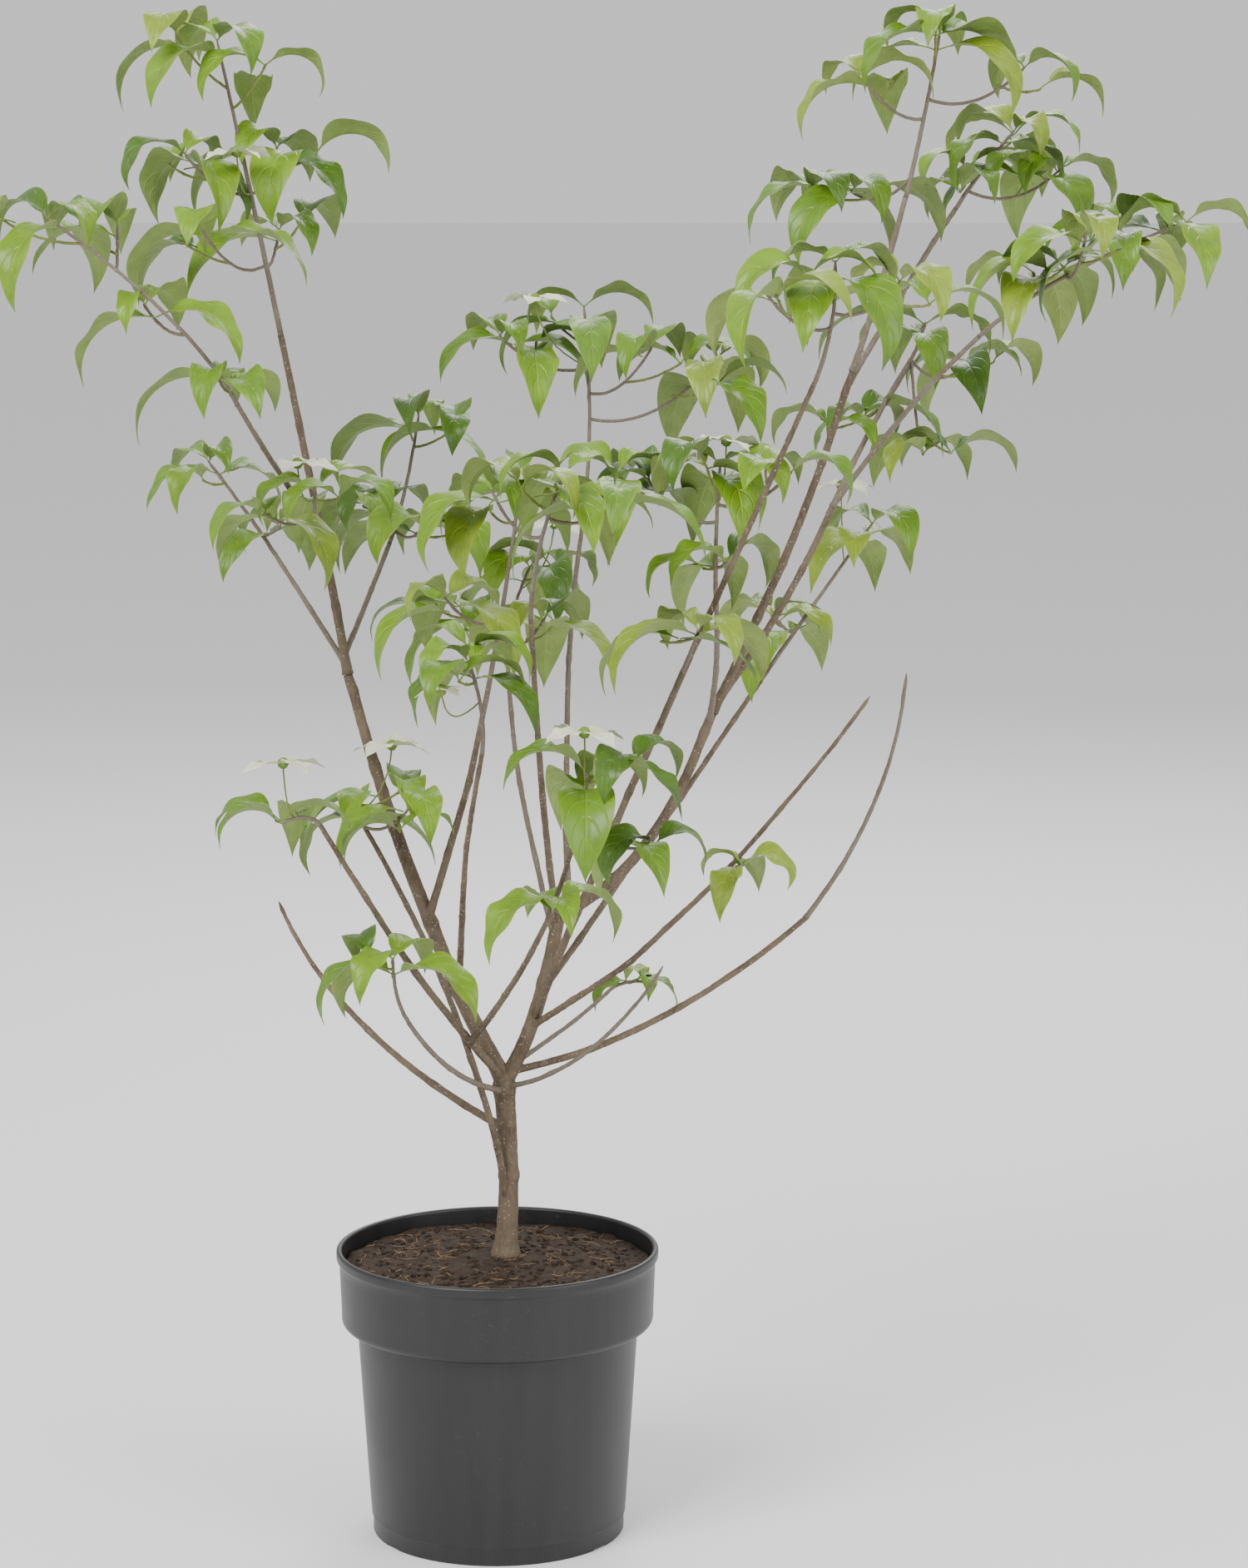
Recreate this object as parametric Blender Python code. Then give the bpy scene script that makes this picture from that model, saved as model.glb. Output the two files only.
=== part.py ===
# A young kousa dogwood with several leaders, growing in a black nursery pot.
# Metres, +Z up, and -Y faces the viewer. The pot stands on z = 0. Sizes and places are
# given from the foot of the pot's axis, and the whole plant is moved at the end so that
# the origin lies under the middle of its bounding box.
# Each limb is one tapering tube. Each mass of foliage is one solid: a stem that
# carries twigs, shoots and opposite pairs of arching leaves, all from a seeded rule.

import math
import random

import bmesh
import bpy
from mathutils import Matrix, Quaternion, Vector
from mathutils.bvhtree import BVHTree

MILLIMETRE = 0.001
GAP = 0.0003            # between solids that touch on the real plant
CUT_GAP = 0.0004        # the same, where a faceted limb is cut by another

# Pot: a 24 cm nursery pot with a deep collar and a short ring under its floor
RIM_DIAMETER = 0.240
POT_HEIGHT = 0.216
LIP_HEIGHT = 0.006
LIP_EDGES = (0.2, 0.8)  # shares of the lip's height where its widest band starts and ends
LIP_BEVEL = 0.0015
COLLAR_TOP_DIAMETER = 0.2355
COLLAR_FOOT_DIAMETER = 0.2325
COLLAR_HEIGHT = 0.058
COLLAR_ROUND = 0.006
BODY_TOP_DIAMETER = 0.2095
BODY_FOOT_DIAMETER = 0.1905
SEAM_HEIGHT = 0.014
SEAM_STEP = 0.001
RING_DIAMETER = 0.188
FOOT_WIDTH = 0.004      # of the flat ring that the pot stands on
FOOT_DRAFT = 0.001      # how far the ring's inner side leans in
WALL = 0.0022
FLOOR_HEIGHT = 0.011
POT_SEGMENTS = 36
NOTCH_WIDTH = 0.013
NOTCH_HEIGHT = 0.007
NOTCH_DEPTH = 0.0132
NOTCH_ANGLES = (-35.0, -145.0, 35.0, 145.0)   # degrees from +X

# Soil: a mound that fills the pot to just under its rim
SOIL_EDGE_HEIGHT = 0.2035
SOIL_TOP_HEIGHT = 0.2095
SOIL_LEVEL_RADIUS = 0.022
SOIL_SHOULDER = (0.55, 0.0016)  # share of the edge's radius, and its drop from the top
SOIL_CLEARANCE = 0.0002         # more room than GAP, where the wall leans

# Trunk, from its flat cut at the soil to the fork of the two leaders
TRUNK_X = 0.006
FORK_POINT = (0.006, 0.0, 0.342)
TRUNK_BOW = 0.0018      # how far the trunk stands out to the right half way up
TRUNK_SIDES = 12
TRUNK_PROFILE = (       # height above the soil as a share of the trunk, diameter
    (0.00, 0.0225),
    (0.06, 0.0180),
    (0.16, 0.0160),
    (0.45, 0.0145),
    (0.80, 0.0150),
    (1.00, 0.0165),
)

THICK_LIMB = 6.0        # millimetres: a limb thicker than this at its foot has more sides
THICK_LIMB_SIDES = 6
THIN_LIMB_SIDES = 5
LIMB_RINGS = 4          # stretches between a limb's rings
CUTTER_REACH = 0.0006   # how far a cutter runs past the ends of its limb

# Each limb: the limb it leaves and the share of that limb's length where it does, a
# point it passes half way, its tip, and its diameter at each end in millimetres.
LIMBS = (
    ("left_leader", "trunk", 1.0, (-0.060, 0.018, 0.485), (-0.110, 0.040, 0.640), 13, 7.2),
    ("right_leader", "trunk", 1.0, (0.030, 0.002, 0.395), (0.046, 0.010, 0.465), 11.2, 10),
    ("left_leader_upper", "left_leader", 1.0, (-0.132, 0.044, 0.760), (-0.156, 0.035, 0.890), 7, 4.6),
    ("left_high_bough", "left_leader_upper", 0.42,
     (-0.158, -0.038, 0.803), (-0.180, -0.100, 0.855), 4.4, 3.4),
    ("left_low_bough", "left_leader_upper", 0.03, (-0.143, 0.082, 0.688), (-0.170, 0.122, 0.722), 4.2, 3.4),
    ("left_back_bough", "left_leader_upper", 0.06,
     (-0.098, 0.095, 0.690), (-0.084, 0.142, 0.728), 4.4, 3.6),
    ("left_spur", "left_leader_upper", 0.36, (-0.129, 0.010, 0.745), (-0.128, -0.028, 0.762), 3.6, 3),
    ("inner_bough", "left_leader", 0.42, (-0.029, -0.012, 0.532), (-0.010, -0.050, 0.608), 6.2, 4.4),
    ("middle_bough", "left_leader", 0.24, (-0.020, -0.085, 0.505), (-0.004, -0.165, 0.610), 5.2, 3.4),
    ("low_left_bough", "trunk", 1.0, (-0.056, -0.068, 0.437), (-0.120, -0.115, 0.552), 6.2, 3.6),
    ("basal_shoot", "trunk", 0.27, (-0.027, -0.024, 0.392), (-0.095, 0.000, 0.530), 5.6, 3.6),
    ("bare_left_bough", "trunk", 0.72, (-0.104, 0.082, 0.366), (-0.170, 0.120, 0.455), 6.2, 3),
    ("lowest_left_bough", "trunk", 0.94, (-0.030, -0.054, 0.362), (-0.060, -0.092, 0.405), 4.6, 3.4),
    ("right_leader_middle", "right_leader", 1.0, (0.110, 0.026, 0.515), (0.160, 0.040, 0.612), 8.6, 7),
    ("right_leader_upper", "right_leader_middle", 1.0,
     (0.214, 0.030, 0.733), (0.260, 0.010, 0.865), 6.8, 5),
    ("top_bough", "right_leader_upper", 1.0, (0.279, -0.006, 0.928), (0.295, -0.020, 0.990), 4.8, 3.8),
    ("top_right_bough", "right_leader_upper", 0.97, (0.298, 0.058, 0.918), (0.340, 0.100, 0.980), 4.6, 3.6),
    ("centre_right_bough", "right_leader_middle", 0.97,
     (0.161, -0.006, 0.656), (0.160, -0.052, 0.710), 4.8, 3.6),
    ("right_outer_bough", "right_leader_upper", 0.05,
     (0.214, 0.078, 0.690), (0.250, 0.092, 0.760), 5.6, 4.6),
    ("far_right_bough", "right_outer_bough", 1.0, (0.302, 0.054, 0.832), (0.350, 0.000, 0.890), 4.4, 3.6),
    ("back_right_bough", "right_outer_bough", 0.96, (0.284, 0.142, 0.820), (0.312, 0.182, 0.862), 4.4, 3.4),
    ("front_bough", "right_leader", 0.96, (0.036, -0.075, 0.580), (0.030, -0.150, 0.700), 5.4, 3.8),
    ("centre_back_bough", "right_leader_middle", 0.06,
     (0.052, 0.052, 0.610), (0.064, 0.110, 0.750), 4.8, 3.4),
    ("low_front_bough", "low_left_bough", 0.20, (0.030, -0.128, 0.465), (0.064, -0.238, 0.570), 5, 3.4),
    ("back_bough", "right_leader", 0.88, (0.014, 0.092, 0.560), (0.005, 0.170, 0.648), 4.4, 3.4),
    ("front_right_bough", "right_leader", 0.45, (0.120, -0.128, 0.628), (0.222, -0.200, 0.866), 6.2, 3.6),
    ("right_back_bough", "right_leader", 0.62, (0.132, 0.128, 0.528), (0.208, 0.188, 0.628), 5.2, 3.6),
    ("low_front_right_bough", "right_leader", 0.40,
     (0.143, -0.100, 0.492), (0.262, -0.200, 0.655), 5.2, 2.6),
    ("lowest_right_bough", "right_leader", 0.08, (0.125, 0.010, 0.390), (0.230, 0.050, 0.455), 5.4, 4.2),
    ("lowest_right_tip", "lowest_right_bough", 1.0, (0.285, 0.070, 0.545), (0.306, 0.080, 0.636), 4, 2.4),
    ("budded_bough", "trunk", 0.97, (0.064, -0.052, 0.372), (0.122, -0.110, 0.450), 4, 2.4),
    ("low_back_bough", "right_leader", 0.14, (0.055, 0.052, 0.376), (0.085, 0.096, 0.392), 3.8, 2.8),
)

# Each mass: the limb it grows on, the share of that limb where it does, its tufts
# of leaves as (centre, half-width, leaves), and its flowers as (centre, bract length).
# The stem runs to the last tuft, and side twigs leave it for the others.
MASSES = (
    (
        "left_top_foliage", "left_leader_upper", 1.0,
        (
            ((-0.160, 0.080, 0.966), 0.062, 6),
            ((-0.205, -0.040, 0.968), 0.066, 7),
            ((-0.222, 0.008, 1.022), 0.064, 8),
            ((-0.158, 0.052, 1.026), 0.064, 7),
            ((-0.198, 0.018, 1.102), 0.072, 9),
        ),
        (((-0.181, -0.022, 1.022), 0.030),),
    ),
    (
        "far_left_foliage", "left_high_bough", 1.0,
        (
            ((-0.186, -0.124, 0.866), 0.060, 6),
            ((-0.238, -0.118, 0.918), 0.054, 4),
            ((-0.258, -0.092, 0.972), 0.060, 6),
            ((-0.300, -0.150, 0.978), 0.068, 8),
        ),
        (),
    ),
    (
        "left_low_foliage", "left_low_bough", 1.0,
        (
            ((-0.166, 0.136, 0.742), 0.054, 4),
            ((-0.222, 0.150, 0.790), 0.058, 7),
        ),
        (),
    ),
    (
        "left_back_foliage", "left_back_bough", 1.0,
        (
            ((-0.056, 0.118, 0.742), 0.070, 7),
            ((-0.090, 0.170, 0.755), 0.060, 6),
            ((-0.064, 0.200, 0.822), 0.074, 10),
        ),
        (),
    ),
    (
        "left_spur_foliage", "left_spur", 1.0,
        (
            ((-0.162, -0.060, 0.768), 0.056, 4),
            ((-0.126, -0.055, 0.785), 0.060, 6),
        ),
        (((-0.138, -0.052, 0.803), 0.032),),
    ),
    (
        "inner_foliage", "inner_bough", 1.0,
        (
            ((-0.032, -0.098, 0.712), 0.066, 8),
            ((0.038, -0.018, 0.690), 0.064, 8),
            ((0.020, 0.002, 0.790), 0.068, 7),
        ),
        (),
    ),
    (
        "middle_foliage", "middle_bough", 1.0,
        (
            ((-0.012, -0.190, 0.678), 0.056, 10),
        ),
        (((-0.030, -0.205, 0.660), 0.022),),
    ),
    (
        "low_left_foliage", "low_left_bough", 1.0,
        (
            ((-0.148, -0.118, 0.554), 0.058, 6),
        ),
        (((-0.146, -0.112, 0.596), 0.036),),
    ),
    (
        "basal_shoot_foliage", "basal_shoot", 1.0,
        (
            ((-0.058, -0.030, 0.556), 0.058, 5),
            ((-0.100, 0.010, 0.548), 0.062, 7),
        ),
        (((-0.076, 0.006, 0.592), 0.036),),
    ),
    (
        "lowest_left_foliage", "lowest_left_bough", 1.0,
        (
            ((-0.070, -0.110, 0.456), 0.060, 8),
        ),
        (),
    ),
    (
        "top_foliage", "top_bough", 1.0,
        (
            ((0.258, 0.026, 0.994), 0.062, 8),
            ((0.262, -0.040, 1.075), 0.062, 6),
            ((0.380, -0.012, 1.082), 0.060, 6),
            ((0.318, -0.020, 1.106), 0.070, 8),
        ),
        (),
    ),
    (
        "top_right_foliage", "top_right_bough", 1.0,
        (
            ((0.350, 0.125, 1.010), 0.062, 7),
            ((0.420, 0.134, 1.008), 0.064, 7),
            ((0.385, 0.118, 1.038), 0.066, 8),
        ),
        (),
    ),
    (
        "centre_right_foliage", "centre_right_bough", 1.0,
        (
            ((0.168, -0.072, 0.735), 0.060, 6),
            ((0.112, -0.045, 0.790), 0.064, 7),
            ((0.212, -0.095, 0.800), 0.060, 6),
            ((0.162, -0.085, 0.806), 0.066, 8),
        ),
        (((0.166, -0.098, 0.822), 0.030),),
    ),
    (
        "far_right_foliage", "far_right_bough", 1.0,
        (
            ((0.385, -0.036, 0.938), 0.062, 8),
            ((0.418, -0.082, 0.968), 0.062, 8),
            ((0.462, 0.052, 0.962), 0.062, 7),
            ((0.506, 0.050, 0.972), 0.060, 7),
        ),
        (),
    ),
    (
        "back_right_foliage", "back_right_bough", 1.0,
        (
            ((0.276, 0.172, 0.820), 0.066, 7),
            ((0.322, 0.148, 0.794), 0.060, 6),
            ((0.360, 0.246, 0.858), 0.062, 6),
            ((0.326, 0.202, 0.892), 0.070, 8),
        ),
        (),
    ),
    (
        "front_foliage", "front_bough", 1.0,
        (
            ((0.002, -0.122, 0.790), 0.062, 7),
            ((0.094, -0.196, 0.790), 0.062, 7),
            ((0.054, -0.180, 0.806), 0.070, 8),
        ),
        (),
    ),
    (
        "centre_back_foliage", "centre_back_bough", 1.0,
        (
            ((0.166, 0.128, 0.870), 0.066, 8),
            ((0.000, 0.132, 0.886), 0.066, 8),
            ((0.116, 0.096, 0.880), 0.060, 6),
            ((0.064, 0.142, 0.908), 0.070, 8),
        ),
        (((0.028, 0.100, 0.914), 0.026),),
    ),
    (
        "low_front_foliage", "low_front_bough", 1.0,
        (
            ((0.116, -0.246, 0.560), 0.056, 4),
            ((0.070, -0.262, 0.612), 0.068, 8),
        ),
        (((0.068, -0.272, 0.640), 0.034),),
    ),
    (
        "low_front_spur_foliage", "low_front_bough", 0.70,
        (
            ((0.044, -0.188, 0.502), 0.054, 4),
        ),
        (),
    ),
    (
        "back_foliage", "back_bough", 1.0,
        (
            ((-0.028, 0.196, 0.668), 0.062, 6),
            ((0.022, 0.190, 0.706), 0.064, 8),
        ),
        (((0.040, 0.214, 0.736), 0.032),),
    ),
    (
        "front_right_foliage", "front_right_bough", 1.0,
        (
            ((0.188, -0.232, 0.930), 0.062, 6),
            ((0.282, -0.176, 0.936), 0.060, 6),
            ((0.236, -0.202, 0.950), 0.066, 8),
        ),
        (),
    ),
    (
        "right_spur_foliage", "front_right_bough", 0.56,
        (
            ((0.145, -0.195, 0.700), 0.066, 8),
        ),
        (),
    ),
    (
        "right_back_foliage", "right_back_bough", 1.0,
        (
            ((0.214, 0.205, 0.662), 0.066, 8),
            ((0.288, 0.210, 0.738), 0.066, 8),
        ),
        (((0.262, 0.192, 0.768), 0.034),),
    ),
    (
        "low_right_spur_foliage", "low_front_right_bough", 0.55,
        (
            ((0.178, -0.150, 0.530), 0.044, 4),
        ),
        (),
    ),
    (
        "low_back_foliage", "low_back_bough", 1.0,
        (
            ((0.112, 0.112, 0.394), 0.034, 4),
        ),
        (),
    ),
)

# The rule that every mass grows by
SEED = 4100
MASS_SOLVER = "MANIFOLD"          # the exact solver is slow on this many crossing leaves
TWIG_SIDES = 3
STEM_RINGS = 4                    # stretches between the rings of a stem or a twig
TWIG_RINGS = 2
STEM_TIP_DIAMETER = 0.0032
STEM_FOLLOW = 0.45                # how much a stem keeps its limb's direction, from 0 to 1
LIMB_END_SHARE = 0.04             # the stretch of a limb that gives its direction
LEAVE_SHARES = (0.12, 0.24, 0.36, 0.48, 0.60, 0.72)   # of a stem, where a side twig may leave it
GOOD_CLIMB = 0.35                 # a side twig's rise as a share of its length
CLIMB_COST = 0.10                 # metres that a twig is longer by for each lost share of climb
TWIG_SAG = 0.16                   # share of its length that a side twig hangs below straight
TWIG_DIAMETER = 0.0034
SHOOT_DIAMETER = 0.0030
LEAVES_PER_SHOOT = 4
SHOOT_TURN = 0.35                 # radians either way from an even spread round the tuft
SHOOT_REACH = (0.75, 1.0)         # of the tuft's room
SHOOT_HEIGHTS = (-0.018, 0.010)   # of a shoot's tip from the tuft's centre
SHOOT_STARTS = (0.05, 0.45)       # share of the twig's last stretch where a shoot leaves
TUFT_EDGE = 0.030                 # the leaves' part of a tuft's half-width
PAIR_SPACING = 0.012
TIP_SETBACK = 0.0015              # from a shoot's tip down to its first pair
YOUNGEST_PAIR_SIZE = 0.80
LOWER_PAIR_RISE = 0.35            # the second pair's rise, from lowest to highest
HEADING_SCATTER = (12.0, 14.0)    # degrees either way at the first try, and more at each other
RISE_SCATTER = 10.0               # degrees either way
WIDTH_SCATTER = (0.88, 1.10)
LEAF_LENGTH = (0.074, 0.098)      # along the midrib, shortest and longest
LEAF_WIDTH_SHARE = 0.37           # of the length
LEAF_KEEL_SHARE = 0.030           # depth of the solid under the blade
LEAF_FOLD = math.radians(24.0)    # each half of the blade turned up from flat
LEAF_RISE = (5.0, 48.0)           # degrees at the root, lowest and highest pair
LEAF_DROOP = (-82.0, -124.0)      # degrees at the tip
LEAF_CURL = 1.15                  # over 1, a leaf bends more near its tip
LEAF_STATIONS = (0.36, 0.68)      # shares of the length where the solid has a ring
LEAF_WIDTHS = (1.0, 0.66)         # of the full width there
LEAF_ROOT = 0.0006                # from the shoot's axis to the leaf's root, inside the shoot
FULL_TUFT = 0.062                 # a tuft of this half-width or more has full-sized leaves
MIDRIB_STEPS = 25
LEAF_TRIES = 5
PETIOLE = 0.008                   # the part of a leaf that may lie close to its shoot
GUARD = 0.0012                    # room kept round a leaf

BUTTON_DIAMETER = 0.008
BUTTON_RINGS = ((-0.8, 0.7), (0.2, 1.0), (1.0, 0.5))   # height and radius, as shares of its radius
BUTTON_SIDES = 4
STALK_DIAMETER = 0.0022
STALK_LENGTH = 0.022
STALK_BEND = 0.7                  # share of the way out where a stalk turns up
BRACTS = 4
BRACT_RISE = (4.0, 16.0)          # degrees at a bract's root
BRACT_WIDTH_SHARE = 0.52
BRACT_DROOP = -34.0               # degrees at a bract's tip


def clear_scene():
    """Remove every object that is in the file."""
    for existing in list(bpy.data.objects):
        bpy.data.objects.remove(existing, do_unlink=True)


def make_material(name, colour, roughness, metallic=0.0):
    """A Principled BSDF with one plain colour."""
    material = bpy.data.materials.new(name)
    material.use_nodes = True
    shader = material.node_tree.nodes["Principled BSDF"]
    shader.inputs["Base Color"].default_value = (*colour, 1.0)
    shader.inputs["Roughness"].default_value = roughness
    shader.inputs["Metallic"].default_value = metallic
    return material


def make_object(name, vertices, faces, material=None):
    """A mesh object from its corners and faces, linked to the scene."""
    mesh = bpy.data.meshes.new(name)
    mesh.from_pydata([tuple(corner) for corner in vertices], [], faces)
    mesh.validate()
    made = bpy.data.objects.new(name, mesh)
    bpy.context.scene.collection.objects.link(made)
    if material:
        mesh.materials.append(material)
    return made


def apply_boolean(target, others, operation, solver="EXACT"):
    """Join the other objects to the target, or cut them from it, and remove them."""
    group = bpy.data.collections.new("operands")
    bpy.context.scene.collection.children.link(group)
    for other in others:
        group.objects.link(other)
        bpy.context.scene.collection.objects.unlink(other)
        other.hide_render = True
        other.display_type = "WIRE"
    modifier = target.modifiers.new("boolean", "BOOLEAN")
    modifier.operation = operation
    modifier.operand_type = "COLLECTION"
    modifier.collection = group
    modifier.solver = solver
    graph = bpy.context.evaluated_depsgraph_get()
    result = bpy.data.meshes.new_from_object(target.evaluated_get(graph))
    target.modifiers.clear()
    target.data = result
    for other in list(group.objects):
        bpy.data.objects.remove(other, do_unlink=True)
    bpy.data.collections.remove(group)


def islands(form):
    """The separate bodies of a bmesh, each as a list of its vertices."""
    found = []
    seen = set()
    for first in form.verts:
        if first in seen:
            continue
        seen.add(first)
        body = [first]
        for vertex in body:
            for edge in vertex.link_edges:
                other = edge.other_vert(vertex)
                if other not in seen:
                    seen.add(other)
                    body.append(other)
        found.append(body)
    return found


def keep_body_near(target, point):
    """Drop the loose scraps of a cut limb, all but the body that reaches the point."""
    form = bmesh.new()
    form.from_mesh(target.data)
    bodies = islands(form)
    kept = min(bodies, key=lambda body: min((vertex.co - point).length for vertex in body))
    for body in bodies:
        if body is not kept:
            bmesh.ops.delete(form, geom=body, context="VERTS")
    form.to_mesh(target.data)
    form.free()


def keep_outer_body(target):
    """Drop loose scraps and fill sealed hollows: only the largest body stays."""
    form = bmesh.new()
    form.from_mesh(target.data)
    bodies = islands(form)
    kept = max(bodies, key=len)
    for body in bodies:
        if body is not kept:
            bmesh.ops.delete(form, geom=body, context="VERTS")
    bmesh.ops.triangulate(form, faces=form.faces[:])
    bmesh.ops.recalc_face_normals(form, faces=form.faces[:])
    form.to_mesh(target.data)
    form.free()


def shade_round(target, angle):
    """Smooth shading, with edges over the angle kept sharp."""
    target.data.shade_smooth()
    target.data.set_sharp_from_angle(angle=math.radians(angle))


def bow(start, via, tip, steps):
    """Points on the parabola from start to tip that passes via half way."""
    control = 2.0 * via - 0.5 * (start + tip)
    points = []
    for step in range(steps + 1):
        share = step / steps
        rest = 1.0 - share
        points.append(rest * rest * start + 2.0 * share * rest * control + share * share * tip)
    return points


def bow_at(start, via, tip, share):
    """The point at one share of such a parabola."""
    control = 2.0 * via - 0.5 * (start + tip)
    rest = 1.0 - share
    return rest * rest * start + 2.0 * share * rest * control + share * share * tip


def tube(points, radii, sides):
    """Corners and faces of a closed tube along a line, its rings turned as little as can be."""
    directions = []
    for index in range(len(points)):
        before = points[max(index - 1, 0)]
        after = points[min(index + 1, len(points) - 1)]
        directions.append((after - before).normalized())
    side = directions[0].orthogonal().normalized()
    vertices = []
    for index, (point, radius) in enumerate(zip(points, radii)):
        if index:
            turn = directions[index - 1].rotation_difference(directions[index])
            side = turn @ side
        for corner in range(sides):
            turn = Quaternion(directions[index], math.tau * corner / sides)
            vertices.append(point + radius * (turn @ side))
    faces = [tuple(reversed(range(sides)))]
    for index in range(len(points) - 1):
        ring = index * sides
        for corner in range(sides):
            follow = (corner + 1) % sides
            faces.append((ring + corner, ring + follow, ring + sides + follow, ring + sides + corner))
    last = (len(points) - 1) * sides
    faces.append(tuple(range(last, last + sides)))
    return vertices, faces


def turned(name, profile, segments, material):
    """A solid turned round the Z axis from a profile of (radius, height), bottom to top outside."""
    form = bmesh.new()
    corners = [form.verts.new((radius, 0.0, height)) for radius, height in profile]
    edges = [form.edges.new((first, second)) for first, second in zip(corners, corners[1:])]
    bmesh.ops.spin(
        form,
        geom=corners + edges,
        axis=(0.0, 0.0, 1.0),
        cent=(0.0, 0.0, 0.0),
        angle=math.tau,
        steps=segments,
        use_merge=True,
        use_duplicate=False,
    )
    bmesh.ops.remove_doubles(form, verts=form.verts[:], dist=1e-6)
    bmesh.ops.recalc_face_normals(form, faces=form.faces[:])
    mesh = bpy.data.meshes.new(name)
    form.to_mesh(mesh)
    form.free()
    made = bpy.data.objects.new(name, mesh)
    bpy.context.scene.collection.objects.link(made)
    mesh.materials.append(material)
    return made


def collar_round_profile():
    """The quarter round under the collar, as (radius, height) from inside to outside."""
    foot_height = POT_HEIGHT - COLLAR_HEIGHT
    centre_radius = COLLAR_FOOT_DIAMETER / 2.0 - COLLAR_ROUND
    centre_height = foot_height + COLLAR_ROUND
    points = []
    for angle in (-90.0, -45.0, 0.0):
        turn = math.radians(angle)
        radius = centre_radius + COLLAR_ROUND * math.cos(turn)
        points.append((radius, centre_height + COLLAR_ROUND * math.sin(turn)))
    return points


def body_radius(height):
    """The body's outer radius at a height, between the seam and the collar's foot."""
    share = (height - SEAM_HEIGHT) / (POT_HEIGHT - COLLAR_HEIGHT - SEAM_HEIGHT)
    return (BODY_FOOT_DIAMETER + share * (BODY_TOP_DIAMETER - BODY_FOOT_DIAMETER)) / 2.0


def make_pot(material):
    """The pot: a thin turned shell with a lip, a collar, a floor, and notches in its foot ring."""
    collar_foot = POT_HEIGHT - COLLAR_HEIGHT
    lip_radius = RIM_DIAMETER / 2.0
    collar_radius = COLLAR_TOP_DIAMETER / 2.0
    ring_radius = RING_DIAMETER / 2.0
    floor_radius = body_radius(FLOOR_HEIGHT + WALL) - WALL
    profile = [
        (0.0, FLOOR_HEIGHT),
        (ring_radius - FOOT_WIDTH - FOOT_DRAFT, FLOOR_HEIGHT),
        (ring_radius - FOOT_WIDTH, 0.0),
        (ring_radius, 0.0),
        (ring_radius, SEAM_HEIGHT - SEAM_STEP),
        (BODY_FOOT_DIAMETER / 2.0, SEAM_HEIGHT),
        (body_radius(collar_foot), collar_foot),
    ]
    profile += collar_round_profile()
    profile += [
        (collar_radius, POT_HEIGHT - LIP_HEIGHT),
        (lip_radius, POT_HEIGHT - LIP_EDGES[1] * LIP_HEIGHT),
        (lip_radius, POT_HEIGHT - LIP_EDGES[0] * LIP_HEIGHT),
        (lip_radius - LIP_BEVEL, POT_HEIGHT),
        (collar_radius - WALL, POT_HEIGHT - LIP_HEIGHT),
        (COLLAR_FOOT_DIAMETER / 2.0 - WALL, collar_foot + COLLAR_ROUND),
        (body_radius(collar_foot) - WALL, collar_foot + WALL),
        (floor_radius, FLOOR_HEIGHT + WALL),
        (0.0, FLOOR_HEIGHT + WALL),
    ]
    pot = turned("pot", profile, POT_SEGMENTS, material)
    cutters = [notch_cutter(index, angle) for index, angle in enumerate(NOTCH_ANGLES)]
    apply_boolean(pot, cutters, "DIFFERENCE")
    shade_round(pot, 30.0)
    return pot


def notch_cutter(index, angle):
    """A box that cuts one drain notch through the foot ring."""
    form = bmesh.new()
    bmesh.ops.create_cube(form, size=1.0)
    bmesh.ops.scale(form, verts=form.verts[:], vec=(NOTCH_DEPTH, NOTCH_WIDTH, 2.0 * NOTCH_HEIGHT))
    bmesh.ops.translate(form, verts=form.verts[:], vec=(RING_DIAMETER / 2.0 - WALL, 0.0, 0.0))
    turn = Matrix.Rotation(math.radians(angle), 3, "Z")
    bmesh.ops.rotate(form, verts=form.verts[:], cent=(0.0, 0.0, 0.0), matrix=turn)
    mesh = bpy.data.meshes.new(f"notch_{index}")
    form.to_mesh(mesh)
    form.free()
    cutter = bpy.data.objects.new(f"notch_{index}", mesh)
    bpy.context.scene.collection.objects.link(cutter)
    return cutter


def make_soil(material):
    """The soil that fills the pot, clear of its wall, with a level spot under the trunk."""
    collar_foot = POT_HEIGHT - COLLAR_HEIGHT
    inner = WALL + GAP
    edge_radius = COLLAR_TOP_DIAMETER / 2.0 - inner - SOIL_CLEARANCE
    shoulder_share, shoulder_drop = SOIL_SHOULDER
    floor_height = FLOOR_HEIGHT + WALL + GAP
    profile = [
        (0.0, floor_height),
        (body_radius(floor_height) - inner - SOIL_CLEARANCE, floor_height),
        (body_radius(collar_foot) - inner, collar_foot + WALL + GAP),
        (COLLAR_FOOT_DIAMETER / 2.0 - inner, collar_foot + COLLAR_ROUND + GAP),
        (edge_radius, SOIL_EDGE_HEIGHT),
        (shoulder_share * edge_radius, SOIL_TOP_HEIGHT - shoulder_drop),
        (SOIL_LEVEL_RADIUS, SOIL_TOP_HEIGHT),
        (0.0, SOIL_TOP_HEIGHT),
    ]
    soil = turned("soil", profile, POT_SEGMENTS, material)
    shade_round(soil, 30.0)
    return soil


def trunk_line():
    """The trunk's axis as its foot, its middle and the fork."""
    foot = Vector((TRUNK_X, 0.0, SOIL_TOP_HEIGHT + GAP))
    fork = Vector(FORK_POINT)
    middle = foot.lerp(fork, 0.5) + Vector((TRUNK_BOW, 0.0, 0.0))
    return foot, middle, fork


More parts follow.
